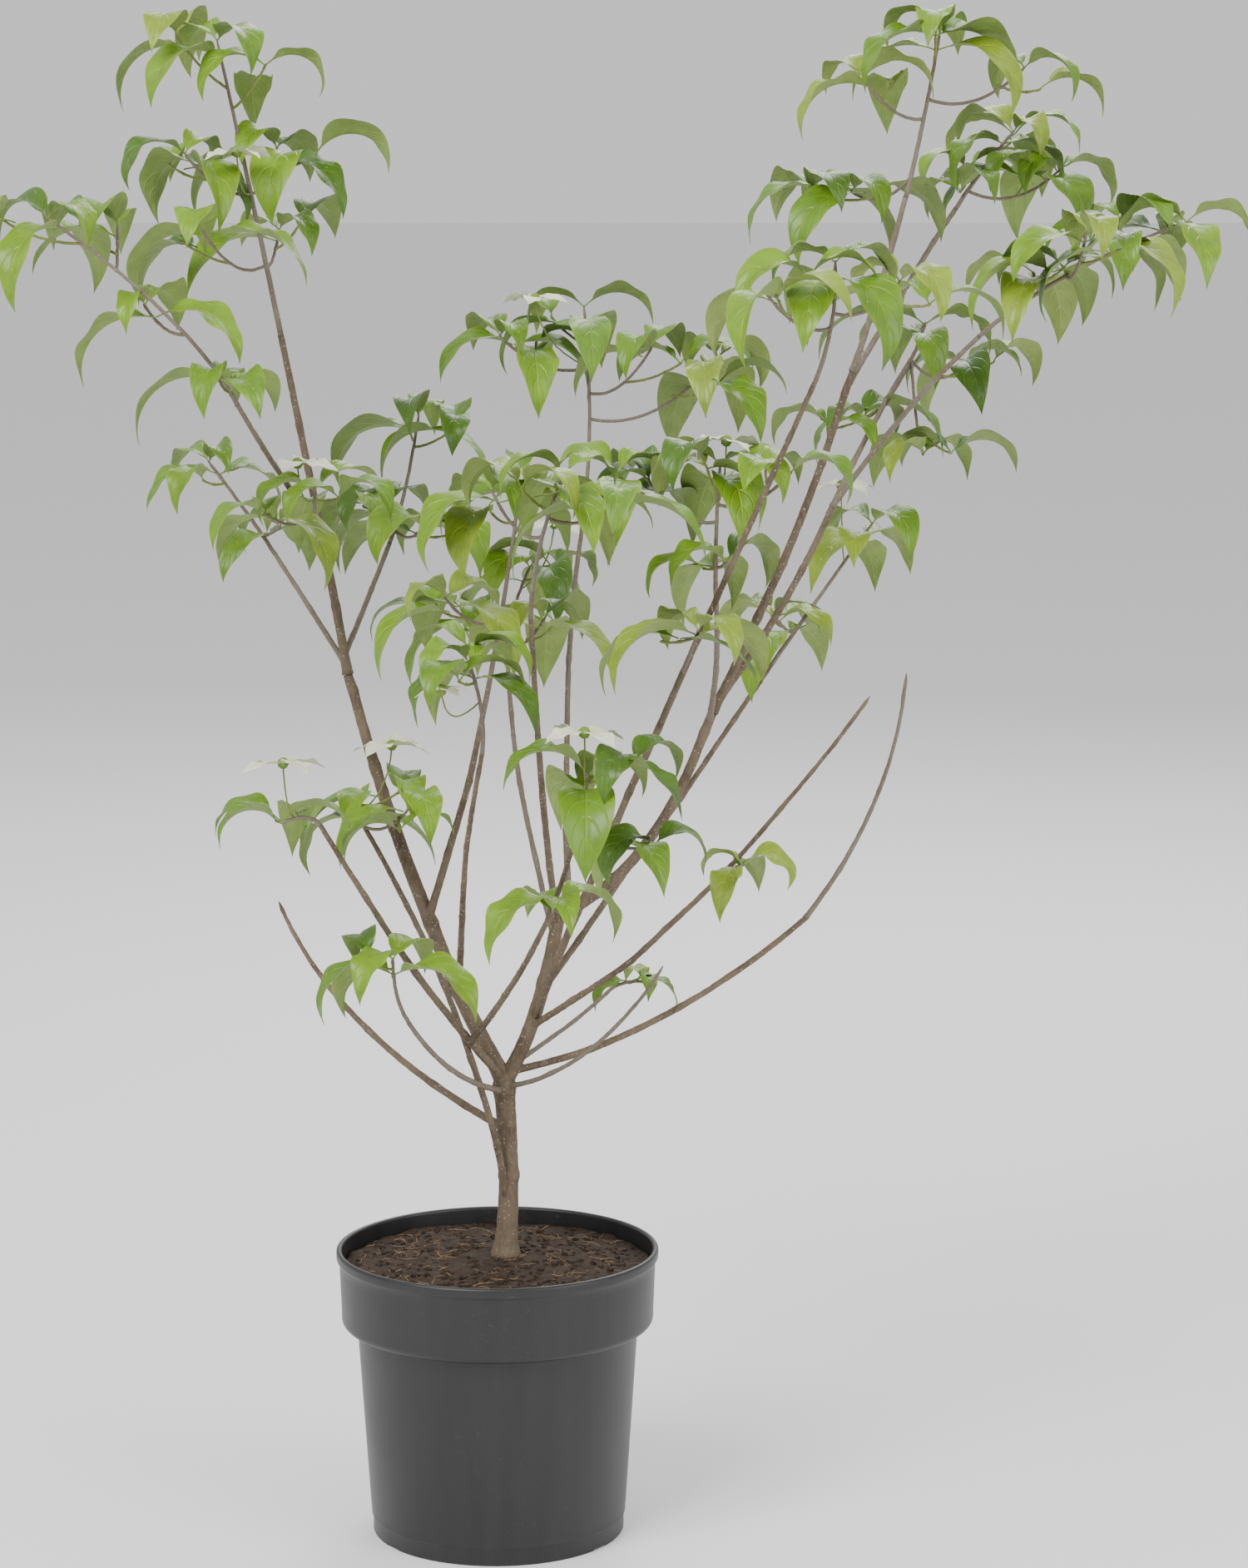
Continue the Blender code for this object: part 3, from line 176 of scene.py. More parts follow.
# Each mass: the limb it grows on, the share of that limb where it does, its tufts
# of leaves as (centre, half-width, leaves), and its flowers as (centre, bract length).
# The stem runs to the last tuft, and side twigs leave it for the others.
MASSES = (
    ("left_top_foliage", "left_leader_upper", 1.0, (
        ((-0.160, 0.080, 0.966), 0.062, 6), ((-0.205, -0.040, 0.968), 0.066, 7),
        ((-0.222, 0.008, 1.022), 0.064, 8), ((-0.158, 0.052, 1.026), 0.064, 7),
        ((-0.198, 0.018, 1.102), 0.072, 9),
    ), (((-0.181, -0.022, 1.022), 0.030),)),
    ("far_left_foliage", "left_high_bough", 1.0, (
        ((-0.186, -0.124, 0.866), 0.060, 6), ((-0.238, -0.118, 0.918), 0.054, 4),
        ((-0.258, -0.092, 0.972), 0.060, 6), ((-0.300, -0.150, 0.978), 0.068, 8),
    ), ()),
    ("left_low_foliage", "left_low_bough", 1.0, (
        ((-0.166, 0.136, 0.742), 0.054, 4), ((-0.222, 0.150, 0.790), 0.058, 7),
    ), ()),
    ("left_back_foliage", "left_back_bough", 1.0, (
        ((-0.056, 0.118, 0.742), 0.070, 7), ((-0.090, 0.170, 0.755), 0.060, 6),
        ((-0.064, 0.200, 0.822), 0.074, 10),
    ), ()),
    ("left_spur_foliage", "left_spur", 1.0, (
        ((-0.162, -0.060, 0.768), 0.056, 4), ((-0.126, -0.055, 0.785), 0.060, 6),
    ), (((-0.138, -0.052, 0.803), 0.032),)),
    ("inner_foliage", "inner_bough", 1.0, (
        ((-0.032, -0.098, 0.712), 0.066, 8), ((0.038, -0.018, 0.690), 0.064, 8),
        ((0.020, 0.002, 0.790), 0.068, 7),
    ), ()),
    ("middle_foliage", "middle_bough", 1.0, (
        ((-0.012, -0.190, 0.678), 0.056, 10),
    ), (((-0.030, -0.205, 0.660), 0.022),)),
    ("low_left_foliage", "low_left_bough", 1.0, (
        ((-0.148, -0.118, 0.554), 0.058, 6),
    ), (((-0.146, -0.112, 0.596), 0.036),)),
    ("basal_shoot_foliage", "basal_shoot", 1.0, (
        ((-0.058, -0.030, 0.556), 0.058, 5), ((-0.100, 0.010, 0.548), 0.062, 7),
    ), (((-0.076, 0.006, 0.592), 0.036),)),
    ("lowest_left_foliage", "lowest_left_bough", 1.0, (
        ((-0.070, -0.110, 0.456), 0.060, 8),
    ), ()),
    ("top_foliage", "top_bough", 1.0, (
        ((0.258, 0.026, 0.994), 0.062, 8), ((0.262, -0.040, 1.075), 0.062, 6),
        ((0.380, -0.012, 1.082), 0.060, 6), ((0.318, -0.020, 1.106), 0.070, 8),
    ), ()),
    ("top_right_foliage", "top_right_bough", 1.0, (
        ((0.350, 0.125, 1.010), 0.062, 7), ((0.420, 0.134, 1.008), 0.064, 7),
        ((0.385, 0.118, 1.038), 0.066, 8),
    ), ()),
    ("centre_right_foliage", "centre_right_bough", 1.0, (
        ((0.168, -0.072, 0.735), 0.060, 6), ((0.112, -0.045, 0.790), 0.064, 7),
        ((0.212, -0.095, 0.800), 0.060, 6), ((0.162, -0.085, 0.806), 0.066, 8),
    ), (((0.166, -0.098, 0.822), 0.030),)),
    ("far_right_foliage", "far_right_bough", 1.0, (
        ((0.385, -0.036, 0.938), 0.062, 8), ((0.418, -0.082, 0.968), 0.062, 8),
        ((0.462, 0.052, 0.962), 0.062, 7), ((0.506, 0.050, 0.972), 0.060, 7),
    ), ()),
    ("back_right_foliage", "back_right_bough", 1.0, (
        ((0.276, 0.172, 0.820), 0.066, 7), ((0.322, 0.148, 0.794), 0.060, 6),
        ((0.360, 0.246, 0.858), 0.062, 6), ((0.326, 0.202, 0.892), 0.070, 8),
    ), ()),
    ("front_foliage", "front_bough", 1.0, (
        ((0.002, -0.122, 0.790), 0.062, 7), ((0.094, -0.196, 0.790), 0.062, 7),
        ((0.054, -0.180, 0.806), 0.070, 8),
    ), ()),
    ("centre_back_foliage", "centre_back_bough", 1.0, (
        ((0.166, 0.128, 0.870), 0.066, 8), ((0.000, 0.132, 0.886), 0.066, 8),
        ((0.116, 0.096, 0.880), 0.060, 6), ((0.064, 0.142, 0.908), 0.070, 8),
    ), (((0.028, 0.100, 0.914), 0.026),)),
    ("low_front_foliage", "low_front_bough", 1.0, (
        ((0.116, -0.246, 0.560), 0.056, 4), ((0.070, -0.262, 0.612), 0.068, 8),
    ), (((0.068, -0.272, 0.640), 0.034),)),
    ("low_front_spur_foliage", "low_front_bough", 0.70, (
        ((0.044, -0.188, 0.502), 0.054, 4),
    ), ()),
    ("back_foliage", "back_bough", 1.0, (
        ((-0.028, 0.196, 0.668), 0.062, 6), ((0.022, 0.190, 0.706), 0.064, 8),
    ), (((0.040, 0.214, 0.736), 0.032),)),
    ("front_right_foliage", "front_right_bough", 1.0, (
        ((0.188, -0.232, 0.930), 0.062, 6), ((0.282, -0.176, 0.936), 0.060, 6),
        ((0.236, -0.202, 0.950), 0.066, 8),
    ), ()),
    ("right_spur_foliage", "front_right_bough", 0.56, (
        ((0.145, -0.195, 0.700), 0.066, 8),
    ), ()),
    ("right_back_foliage", "right_back_bough", 1.0, (
        ((0.214, 0.205, 0.662), 0.066, 8), ((0.288, 0.210, 0.738), 0.066, 8),
    ), (((0.262, 0.192, 0.768), 0.034),)),
    ("low_right_spur_foliage", "low_front_right_bough", 0.55, (
        ((0.178, -0.150, 0.530), 0.044, 4),
    ), ()),
    ("low_back_foliage", "low_back_bough", 1.0, (
        ((0.112, 0.112, 0.394), 0.034, 4),
    ), ()),
)

# The rule that every mass grows by
SEED = 4100
TWIG_SIDES = 3
STEM_RINGS = 4                    # stretches between the rings of a stem or a twig
TWIG_RINGS = 2
STEM_TIP_DIAMETER = 0.0032
STEM_FOLLOW = 0.45                # how much a stem keeps its limb's direction, from 0 to 1
LIMB_END_SHARE = 0.04             # the stretch of a limb that gives its direction
LEAVE_SHARES = (0.12, 0.24, 0.36, 0.48, 0.60, 0.72)   # of a stem, where a side twig may leave it
GOOD_CLIMB = 0.35                 # a side twig's rise as a share of its length
CLIMB_COST = 0.10                 # metres that a twig is longer by for each lost share of climb
TWIG_SAG = 0.16                   # share of its length that a side twig hangs below straight
TWIG_DIAMETER = 0.0034
SHOOT_DIAMETER = 0.0030
LEAVES_PER_SHOOT = 4
SHOOT_TURN = 0.35                 # radians either way from an even spread round the tuft
SHOOT_REACH = (0.75, 1.0)         # of the tuft's room
SHOOT_HEIGHTS = (-0.018, 0.010)   # of a shoot's tip from the tuft's centre
SHOOT_STARTS = (0.05, 0.45)       # share of the twig's last stretch where a shoot leaves
TUFT_EDGE = 0.030                 # the leaves' part of a tuft's half-width
PAIR_SPACING = 0.012
TIP_SETBACK = 0.0015              # from a shoot's tip down to its first pair
YOUNGEST_PAIR_SIZE = 0.80
LOWER_PAIR_RISE = 0.35            # the second pair's rise, from lowest to highest
HEADING_SCATTER = (12.0, 14.0)    # degrees either way at the first try, and more at each other
RISE_SCATTER = 10.0               # degrees either way
WIDTH_SCATTER = (0.88, 1.10)
LEAF_LENGTH = (0.074, 0.098)      # along the midrib, shortest and longest
LEAF_WIDTH_SHARE = 0.37           # of the length
LEAF_KEEL_SHARE = 0.030           # depth of the solid under the blade
LEAF_FOLD = math.radians(24.0)    # each half of the blade turned up from flat
LEAF_RISE = (5.0, 48.0)           # degrees at the root, lowest and highest pair
LEAF_DROOP = (-82.0, -124.0)      # degrees at the tip
LEAF_CURL = 1.15                  # over 1, a leaf bends more near its tip
LEAF_STATIONS = (0.36, 0.68)      # shares of the length where the solid has a ring
LEAF_WIDTHS = (1.0, 0.66)         # of the full width there
LEAF_ROOT = 0.0006                # from the shoot's axis to the leaf's root, inside the shoot
FULL_TUFT = 0.062                 # a tuft of this half-width or more has full-sized leaves
MIDRIB_STEPS = 25
LEAF_TRIES = 5
PETIOLE = 0.008                   # the part of a leaf that may lie close to its shoot
GUARD = 0.0012                    # room kept round a leaf

BUTTON_DIAMETER = 0.008
STALK_DIAMETER = 0.0022
STALK_LENGTH = 0.022
STALK_BEND = 0.7                  # share of the way out where a stalk turns up
BRACTS = 4
BRACT_RISE = (4.0, 16.0)          # degrees at a bract's root
BRACT_WIDTH_SHARE = 0.52
BRACT_DROOP = -34.0               # degrees at a bract's tip

# The finer growth that only the looks have
FINE_STEM_TIP = 0.0022
FINE_TWIG = (0.0026, 0.0020)      # diameters of a side twig at its foot and its end
FINE_SHOOT = (0.0022, 0.0017)
FINE_STALK = 0.0012
NODE_SWELL = 0.38                 # how much thicker a twig is at a joint, as a share
NODE_LENGTH = 0.0016
TWIG_COLUMNS = 8
TWIG_STEPS = 20
BOUGH_COLUMNS = 18
BOUGH_STEP = 0.004                # between the rings of a bough
BOUGH_NODE_SPACING = (0.045, 0.080)
BOUGH_NODE_SWELL = 0.16
BOUGH_ZIGZAG = 0.0011             # a bough's change of line at each joint
COLLAR_SWELL = 0.30               # at a bough's foot
COLLAR_REACH = 0.007
TIP_TAPER = 0.006                 # the stretch where a bare tip draws in
TIP_END_SHARE = 0.25              # of its radius that a bare tip ends with
JOINT_LENGTH = 0.0035
LAST_JOINT = 0.010                # from a bough's tip
YOUNG_LIMB = 5.0                  # millimetres: thinner limbs have young bark
TRUNK_STEPS = 60
TRUNK_SINK = 0.0020               # of the trunk's foot into the peat
TRUNK_COLLAR = 0.10
TRUNK_END = ((0.0030, 0.85), (0.0055, 0.50))   # height above the fork, share of the radius
BARK_LUMPS = (0.6, 0.0035)        # weight and size
BARK_RIDGES = (0.5, 0.0016)
BARK_STRETCH = (1.0, 1.0, 0.4)
TWIG_UNEVENNESS = 0.00018
TWIG_END_SHARE = 0.5

BLADE_COLUMNS = (1.0, 0.955, 0.78, 0.52, 0.26, 0.0, -0.26, -0.52, -0.78, -0.955, -1.0)
PETIOLE_SHARE = 0.07
PETIOLE_RADIUS = 0.00058
BLADE_THICKNESS = 0.00024
WIDTH_POWERS = (0.84, 1.42)       # how the outline rises from the root and falls to the tip
BLADE_FOLD = (12.0, 30.0)
VEIN_PAIRS = 6.0
VEIN_SWEEP = 0.30                 # how far along the leaf a vein has run at the margin
QUILT_HEIGHT = 0.0009
WAVE_HEIGHT = (0.0008, 0.0026)
WAVE_COUNT = (2.0, 3.4)           # waves down a margin
WAVE_POWER = 2.4                  # how far the waves keep to the margin
VEIN_POWER = 1.5                  # how a vein bends towards the tip
BLADE_SWAY = 0.06                 # sideways bend, as a share of the length
BLADE_ROLL = (0.22, 0.45)         # radians either way, at the root and more to the tip
ROLL_START = 0.3                  # share of the length where the roll is whole
STALK_POWER = 0.6                 # how the stalk thins
STALK_BLEND = 0.14                # share of the length where the stalk widens to the blade
FOLD_FADE = 0.45                  # how much flatter the tip is than the root
KEEL_ROUND = 0.001                # half-width of the soft bend at the midrib
RIDGE_HEIGHT = 0.0007             # of the midrib under the blade
RIDGE_WIDTH = 0.0011
BRACT_FOLD = (4.0, 16.0)
BRACT_WAVE_HEIGHT = (0.0004, 0.0012)
BRACT_QUILT_HEIGHT = 0.0003
BUTTON_GRID = (13, 20)            # rings and columns
BUTTON_TILT = 0.48                # of a half turn, from the middle to the last ring
BUTTON_KNOBS = (0.09, 5.0, 6.0)   # height, and how many round and down
BLADE_SHARP = 70.0                # degrees over which an edge stays sharp
POT_SHARP = 50.0
LEAF_TINT_WEIGHTS = (0.30, 0.28, 0.16, 0.16, 0.10)
OWN_TINT_SHARE = 0.3              # of the leaves have a colour apart from their spray's
UNDER_SHARE = 0.72                # of the underside's own colour in a leaf's underside
LEAF_SHEEN = 0.30

SOIL_RINGS = 56
SOIL_SPOKES = 180
SOIL_GAP = 0.0004
SOIL_LUMPS = ((0.55, 0.013, 5), (0.35, 0.005, 6), (0.2, 0.0022, 7))   # weight, size and seed
SOIL_EDGE_GAP = 0.0006
SOIL_INNERMOST = 0.02             # share of the radius of the smallest ring
SCATTER_AREA = (0.03, 0.93)       # shares of the disc's area with crumbs and shreds
CRUMBS = 520
CRUMB_SIDES = 6
CRUMB_RINGS = ((-0.8, 0.45), (-0.1, 1.0), (0.6, 0.7))   # height and radius, as shares of its size
CRUMB_SIZE = (0.0008, 0.0030)
CRUMB_UNEVENNESS = (0.7, 1.3)
FIBRES = 260
FIBRE_SIDES = 4
FIBRE_EDGE = 0.97
FIBRE_BEND = 0.35                 # radians either way at each step
FIBRE_STEP = (0.0008, 0.0030)
FIBRE_LIFT = 0.0010
FIBRE_RADIUS = (0.00018, 0.00050)
FIBRE_TAPER = (0.4, 0.9, 1.0, 1.0, 1.0, 0.8, 0.3)

# Stage
FLOOR_REACH = 60.0
LIGHT_AIM = (0.0, 0.0, 0.62)
LAMPS = (               # name, place, side of the square, and the setting with its power
    ("key_light", (-1.9, -2.6, 3.4), 2.2, "key"),
    ("fill_light", (2.8, -2.0, 1.9), 2.4, "fill"),
    ("back_light", (0.6, 2.8, 2.8), 2.0, "fill"),
)
SENSOR_WIDTH = 36.0     # millimetres
CLIP_END = 200.0

# Finishes: each pair of an edge or a start is two places that a mark fades between
VEIN_EDGE = (0.80, 0.98)          # over the distance from the middle between two veins
VEIN_MARGIN = (0.80, 0.98)        # across the blade, where the veins fade out
VEIN_START = (0.06, 0.14)         # along the blade
MIDRIB_EDGE = (0.02, 0.07)        # across the blade
MARGIN_EDGE = (0.84, 1.0)
MARGIN_MIX = 0.55
MARGIN_TINT = (1.5, 1.15, 1.2)    # the margin's colour, as shares of the blade's
VEIN_MIX = 0.42
VEIN_TINT = (1.7, 1.35, 1.8)
VEIN_GLOW = (0.02, 0.0, 0.01)     # added to a vein's colour
LEAF_PATCH_SHADES = (0.74, 1.18)  # darkest and lightest patches, as shares of the colour
UNDER_PATCH_SHADES = (0.85, 1.12)
UNDER_VEIN_MIX = 0.55
UNDER_VEIN_SHADE = 1.45
LEAF_BUMP = {"depth": 0.0006, "strength": 0.7}
BARK_BUMP = {"depth": 0.0006, "strength": 0.8}
POT_BUMP = {"depth": 0.0002, "strength": 0.35}
SOIL_BUMP = {"depth": 0.0012, "strength": 0.9}
BRACT_BUMP = {"depth": 0.0003, "strength": 0.5}
POT_STREAK_SHADE = 1.5
POT_DUST = (0.16, 0.14, 0.12)
POT_DUST_MIX = 0.22
SOIL_SHADES = (0.5, 1.5, 3.0)     # patches dark and light, and crumbs, as shares of the colour

# The lattice of the noise: multipliers that mix a corner's place into a random value
LATTICE_PRIMES = (73856093, 19349663, 83492791)
SEED_PRIME = 2654435
MIX_FIRST = (1103515245, 12345)
MIX_SECOND = (69069, 1)


def world(points):
    """Points given from the pot's axis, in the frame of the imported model."""
    return np.asarray(points, float) + POT_AXIS


def smooth_step(value, low, high):
    """0 below low and 1 above high, with 3t² - 2t³ between."""
    share = np.clip((value - low) / (high - low), 0.0, 1.0)
    return share * share * (3.0 - 2.0 * share)


def ripple(points, size, seed):
    """Smooth noise from -1 to 1: random values on a cubic lattice, blended by 3t² - 2t³ between corners."""
    cells = np.asarray(points, float) / size
    base = np.floor(cells).astype(np.int64)
    part = cells - base
    part = part * part * (3.0 - 2.0 * part)
    total = np.zeros(cells.shape[:-1])
    for corner in np.ndindex(2, 2, 2):
        at = base + np.array(corner)
        first, second, third = (at[..., axis] * prime for axis, prime in enumerate(LATTICE_PRIMES))
        mixed = first ^ second ^ third ^ seed * SEED_PRIME
        mixed = (mixed * MIX_FIRST[0] + MIX_FIRST[1]) & 0x7FFFFFFF
        mixed = ((mixed >> 7) * MIX_SECOND[0] + MIX_SECOND[1]) & 0xFFFFFF
        weight = np.ones(cells.shape[:-1])
        for axis in range(3):
            weight = weight * (part[..., axis] if corner[axis] else 1.0 - part[..., axis])
        total += weight * (mixed / 0x7FFFFF - 1.0)
    return total


def grid_faces(rows, columns, closed=True):
    """Quads of a grid of points, which wraps round its columns where it is closed."""
    row = np.arange(rows - 1)[:, None]
    column = np.arange(columns if closed else columns - 1)[None, :]
    follow = (column + 1) % columns
    corners = [row * columns + column, row * columns + follow]
    corners += [(row + 1) * columns + follow, (row + 1) * columns + column]
    return np.stack(np.broadcast_arrays(*corners), axis=-1).reshape(-1, 4)


def unit(vectors):
    """Vectors drawn out to length 1."""
    return vectors / np.maximum(np.linalg.norm(vectors, axis=-1, keepdims=True), 1e-12)


class Surface:
    """A mesh that is gathered from blocks of points, faces, a finish and places on the surface."""

    def __init__(self):
        self.points = []
        self.places = []
        self.faces = []
        self.finishes = []
        self.count = 0

    def add(self, points, faces, finish=0, places=None):
        """One block of points. Its faces are arrays, one for each number of corners, and the finish
        is one number for them all or a list of arrays beside them."""
        points = np.asarray(points, float).reshape(-1, 3)
        if places is None:
            places = np.zeros((len(points), 2))
        if not isinstance(finish, list):
            finish = [np.full(len(block), finish) for block in faces]
        for block, marks in zip(faces, finish):
            self.faces.append(np.asarray(block, np.int64) + self.count)
            self.finishes.append(marks.astype(np.int32))
        self.points.append(points)
        self.places.append(np.asarray(places, float).reshape(-1, 2))
        self.count += len(points)

    def finish(self, name, materials, sharp=None):
        """The object, at the origin, with its UV map, smooth and with edges over an angle sharp."""
        mesh = bpy.data.meshes.new(name)
        points = np.concatenate(self.points).astype(np.float32)
        totals = np.concatenate([np.full(len(block), block.shape[1]) for block in self.faces])
        corners = np.concatenate([block.ravel() for block in self.faces]).astype(np.int32)
        starts = np.concatenate([[0], np.cumsum(totals)[:-1]]).astype(np.int32)
        mesh.vertices.add(len(points))
        mesh.vertices.foreach_set("co", points.ravel())
        mesh.loops.add(len(corners))
        mesh.loops.foreach_set("vertex_index", corners)
        mesh.polygons.add(len(totals))
        mesh.polygons.foreach_set("loop_start", starts)
        mesh.polygons.foreach_set("material_index", np.concatenate(self.finishes))
        mesh.update(calc_edges=True)
        layer = mesh.uv_layers.new(name="places")
        places = np.concatenate(self.places)[corners].astype(np.float32)
        layer.data.foreach_set("uv", places.ravel())
        for material in materials:
            mesh.materials.append(material)
        mesh.shade_smooth()
        if sharp:
            mesh.set_sharp_from_angle(angle=math.radians(sharp))
        if mesh.validate():
            raise RuntimeError(f"{name} has faces that the mesh can't hold")
        made = bpy.data.objects.new(name, mesh)
        bpy.context.scene.collection.objects.link(made)
        return made


def keep(piece, nodes=()):
    """Ride on the plant and stand for the nodes."""
    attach(piece, "root")
    if nodes:
        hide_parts(*nodes)
    return piece


def bow_line(start, via, tip, steps):
    """Points on the parabola from start to tip that passes via half way, as an array."""
    start, via, tip = (np.array(point, float) for point in (start, via, tip))
    share = np.linspace(0.0, 1.0, steps + 1)[:, None]
    control = 2.0 * via - 0.5 * (start + tip)
    return (1.0 - share) ** 2 * start + 2.0 * share * (1.0 - share) * control + share**2 * tip


def tube_grid(line, radii, columns):
    """Rings of points round a line: each at line + r (side cos a + other sin a).

    The side lies across the plane that the line bends in, so the rings don't twist. The
    radii are one for each ring, or one for each ring and column."""
    ahead = unit(np.gradient(line, axis=0))
    across = np.cross(line[len(line) // 2] - line[0], line[-1] - line[len(line) // 2])
    if np.linalg.norm(across) < 1e-9:
        across = np.cross(line[-1] - line[0], (0.31, 0.87, 0.12))
    across = unit(across)
    side = unit(across - (ahead @ across)[:, None] * ahead)
    other = np.cross(ahead, side)
    angle = np.linspace(0.0, math.tau, columns, endpoint=False)
    outward = side[:, None] * np.cos(angle)[:, None] + other[:, None] * np.sin(angle)[:, None]
    radii = np.asarray(radii, float)
    if radii.ndim == 1:
        radii = radii[:, None]
    return line[:, None] + outward * radii[..., None], outward


def tube_faces(rows, columns):
    """Quads of a tube's sides, and a face across each end."""
    foot = np.arange(columns)[::-1][None, :]
    end = ((rows - 1) * columns + np.arange(columns))[None, :]
    return [grid_faces(rows, columns), foot, end]


def turned_surface(profile, spokes):
    """A profile of (radius, height) turned round the pot's axis, as rings from foot to top."""
    profile = np.asarray(profile, float)
    angle = np.linspace(0.0, math.tau, spokes, endpoint=False)
    ring = np.stack([np.cos(angle), np.sin(angle)], axis=-1)
    flat = profile[:, 0, None, None] * ring
    height = np.broadcast_to(profile[:, 1, None, None], (*flat.shape[:2], 1))
    return np.concatenate([flat, height], axis=-1), angle


def bow(start, via, tip, steps):
    """Points on the parabola from start to tip that passes via half way."""
    control = 2.0 * via - 0.5 * (start + tip)
    points = []
    for step in range(steps + 1):
        share = step / steps
        rest = 1.0 - share
        points.append(rest * rest * start + 2.0 * share * rest * control + share * share * tip)
    return points


def bow_at(start, via, tip, share):
    """The point at one share of such a parabola."""
    control = 2.0 * via - 0.5 * (start + tip)
    rest = 1.0 - share
    return rest * rest * start + 2.0 * share * rest * control + share * share * tip


def tube(points, radii, sides):
    """Corners and faces of a closed tube along a line, its rings turned as little as can be."""
    directions = []
    for index in range(len(points)):
        before = points[max(index - 1, 0)]
        after = points[min(index + 1, len(points) - 1)]
        directions.append((after - before).normalized())
    side = directions[0].orthogonal().normalized()
    vertices = []
    for index, (point, radius) in enumerate(zip(points, radii)):
        if index:
            turn = directions[index - 1].rotation_difference(directions[index])
            side = turn @ side
        for corner in range(sides):
            turn = Quaternion(directions[index], math.tau * corner / sides)
            vertices.append(point + radius * (turn @ side))
    faces = [tuple(reversed(range(sides)))]
    for index in range(len(points) - 1):
        ring = index * sides
        for corner in range(sides):
            follow = (corner + 1) % sides
            faces.append((ring + corner, ring + follow, ring + sides + follow, ring + sides + corner))
    last = (len(points) - 1) * sides
    faces.append(tuple(range(last, last + sides)))
    return vertices, faces


def trunk_line():
    """The trunk's axis as its foot, its middle and the fork."""
    foot = Vector((TRUNK_X, 0.0, SOIL_TOP_HEIGHT + GAP))
    fork = Vector(FORK_POINT)
    middle = foot.lerp(fork, 0.5) + Vector((TRUNK_BOW, 0.0, 0.0))
    return foot, middle, fork


def trunk_rings(grow):
    """The trunk's points and radii, grown by a little for its cutter."""
    foot, middle, fork = trunk_line()
    points = [bow_at(foot, middle, fork, share) for share, _ in TRUNK_PROFILE]
    radii = [diameter / 2.0 + grow for _, diameter in TRUNK_PROFILE]
    if grow:
        points[0] = points[0] - Vector((0.0, 0.0, CUTTER_REACH))
        points[-1] = points[-1] + Vector((0.0, 0.0, CUTTER_REACH))
    return points, radii


def limb_tube(line, thick, thin, grow):
    """A limb's tube, grown by a little for its cutter."""
    points = bow(*line, LIMB_RINGS)
    radii = []
    for index in range(len(points)):
        share = index / (len(points) - 1)
        radii.append(MILLIMETRE * (thick + share * (thin - thick)) / 2.0 + grow)
    if grow:
        points[0] = points[0] + (points[0] - points[1]).normalized() * CUTTER_REACH
        points[-1] = points[-1] + (points[-1] - points[-2]).normalized() * CUT_GAP
    sides = THICK_LIMB_SIDES if thick > THICK_LIMB else THIN_LIMB_SIDES
    return tube(points, radii, sides)


def tree_of(vertices, faces):
    """A search tree over a mesh's faces, to find what it crosses."""
    return BVHTree.FromPolygons(vertices, faces, all_triangles=False)


def midrib(root, heading, rise, droop, length):
    """Points down a leaf's midrib, which arches in one upright plane, and their slopes."""
    along = Vector((math.cos(heading), math.sin(heading), 0.0))
    step = length / MIDRIB_STEPS
    points = [root.copy()]
    slopes = [rise]
    for index in range(MIDRIB_STEPS):
        share = (index + 0.5) / MIDRIB_STEPS
        slope = rise + (droop - rise) * share ** LEAF_CURL
        points.append(points[-1] + step * (along * math.cos(slope) + Vector((0.0, 0.0, math.sin(slope)))))
        slopes.append(slope)
    return points, slopes


def leaf_shape(root, heading, rise, droop, length, width, guard=0.0):
    """A leaf as a closed wedge: two edges turned up and a keel, drawn to a point at each end."""
    points, slopes = midrib(root, heading, rise, droop, length)
    along = Vector((math.cos(heading), math.sin(heading), 0.0))
    side = Vector((-math.sin(heading), math.cos(heading), 0.0))
    vertices = [points[0]]
    for station, share in zip(LEAF_STATIONS, LEAF_WIDTHS):
        index = round(station * MIDRIB_STEPS)
        slope = slopes[index]
        normal = Vector((0.0, 0.0, math.cos(slope))) - along * math.sin(slope)
        half = 0.5 * width * share + guard
        keel = length * LEAF_KEEL_SHARE * share + guard
        lift = half * math.sin(LEAF_FOLD)
        reach = half * math.cos(LEAF_FOLD)
        vertices.append(points[index] + side * reach + normal * lift)
        vertices.append(points[index] - side * reach + normal * lift)
        vertices.append(points[index] - normal * keel)
    vertices.append(points[-1])
    faces = []
    for corner in range(3):
        follow = (corner + 1) % 3
        faces.append((0, 1 + follow, 1 + corner))
        faces.append((1 + corner, 1 + follow, 4 + follow, 4 + corner))
        faces.append((4 + corner, 4 + follow, 7))
    return vertices, faces


def spread(low, high, draw):
    """A value between two, at the draw's share."""
    return low + (high - low) * draw


def leave_point(line, target):
    """Where a side twig leaves a stem: the nearest point from which it still climbs."""
    best = None
    for share in LEAVE_SHARES:
        point = bow_at(*line, share)
        away = target - point
        climb = away.z / max(away.length, 1e-6)
        cost = away.length + max(0.0, GOOD_CLIMB - climb) * CLIMB_COST
        if best is None or cost < best[0]:
            best = (cost, point)
    return best[1]


def stem_line(lines, limb, share, last):
    """A mass's stem: on from its limb to the last tuft, leaving in the limb's own direction."""
    start = bow_at(*lines[limb], share)
    ahead = (start - bow_at(*lines[limb], share - LIMB_END_SHARE)).normalized()
    half_way = start + ahead * 0.5 * (last - start).length
    via = start.lerp(last, 0.5).lerp(half_way, STEM_FOLLOW)
    return start, via, last


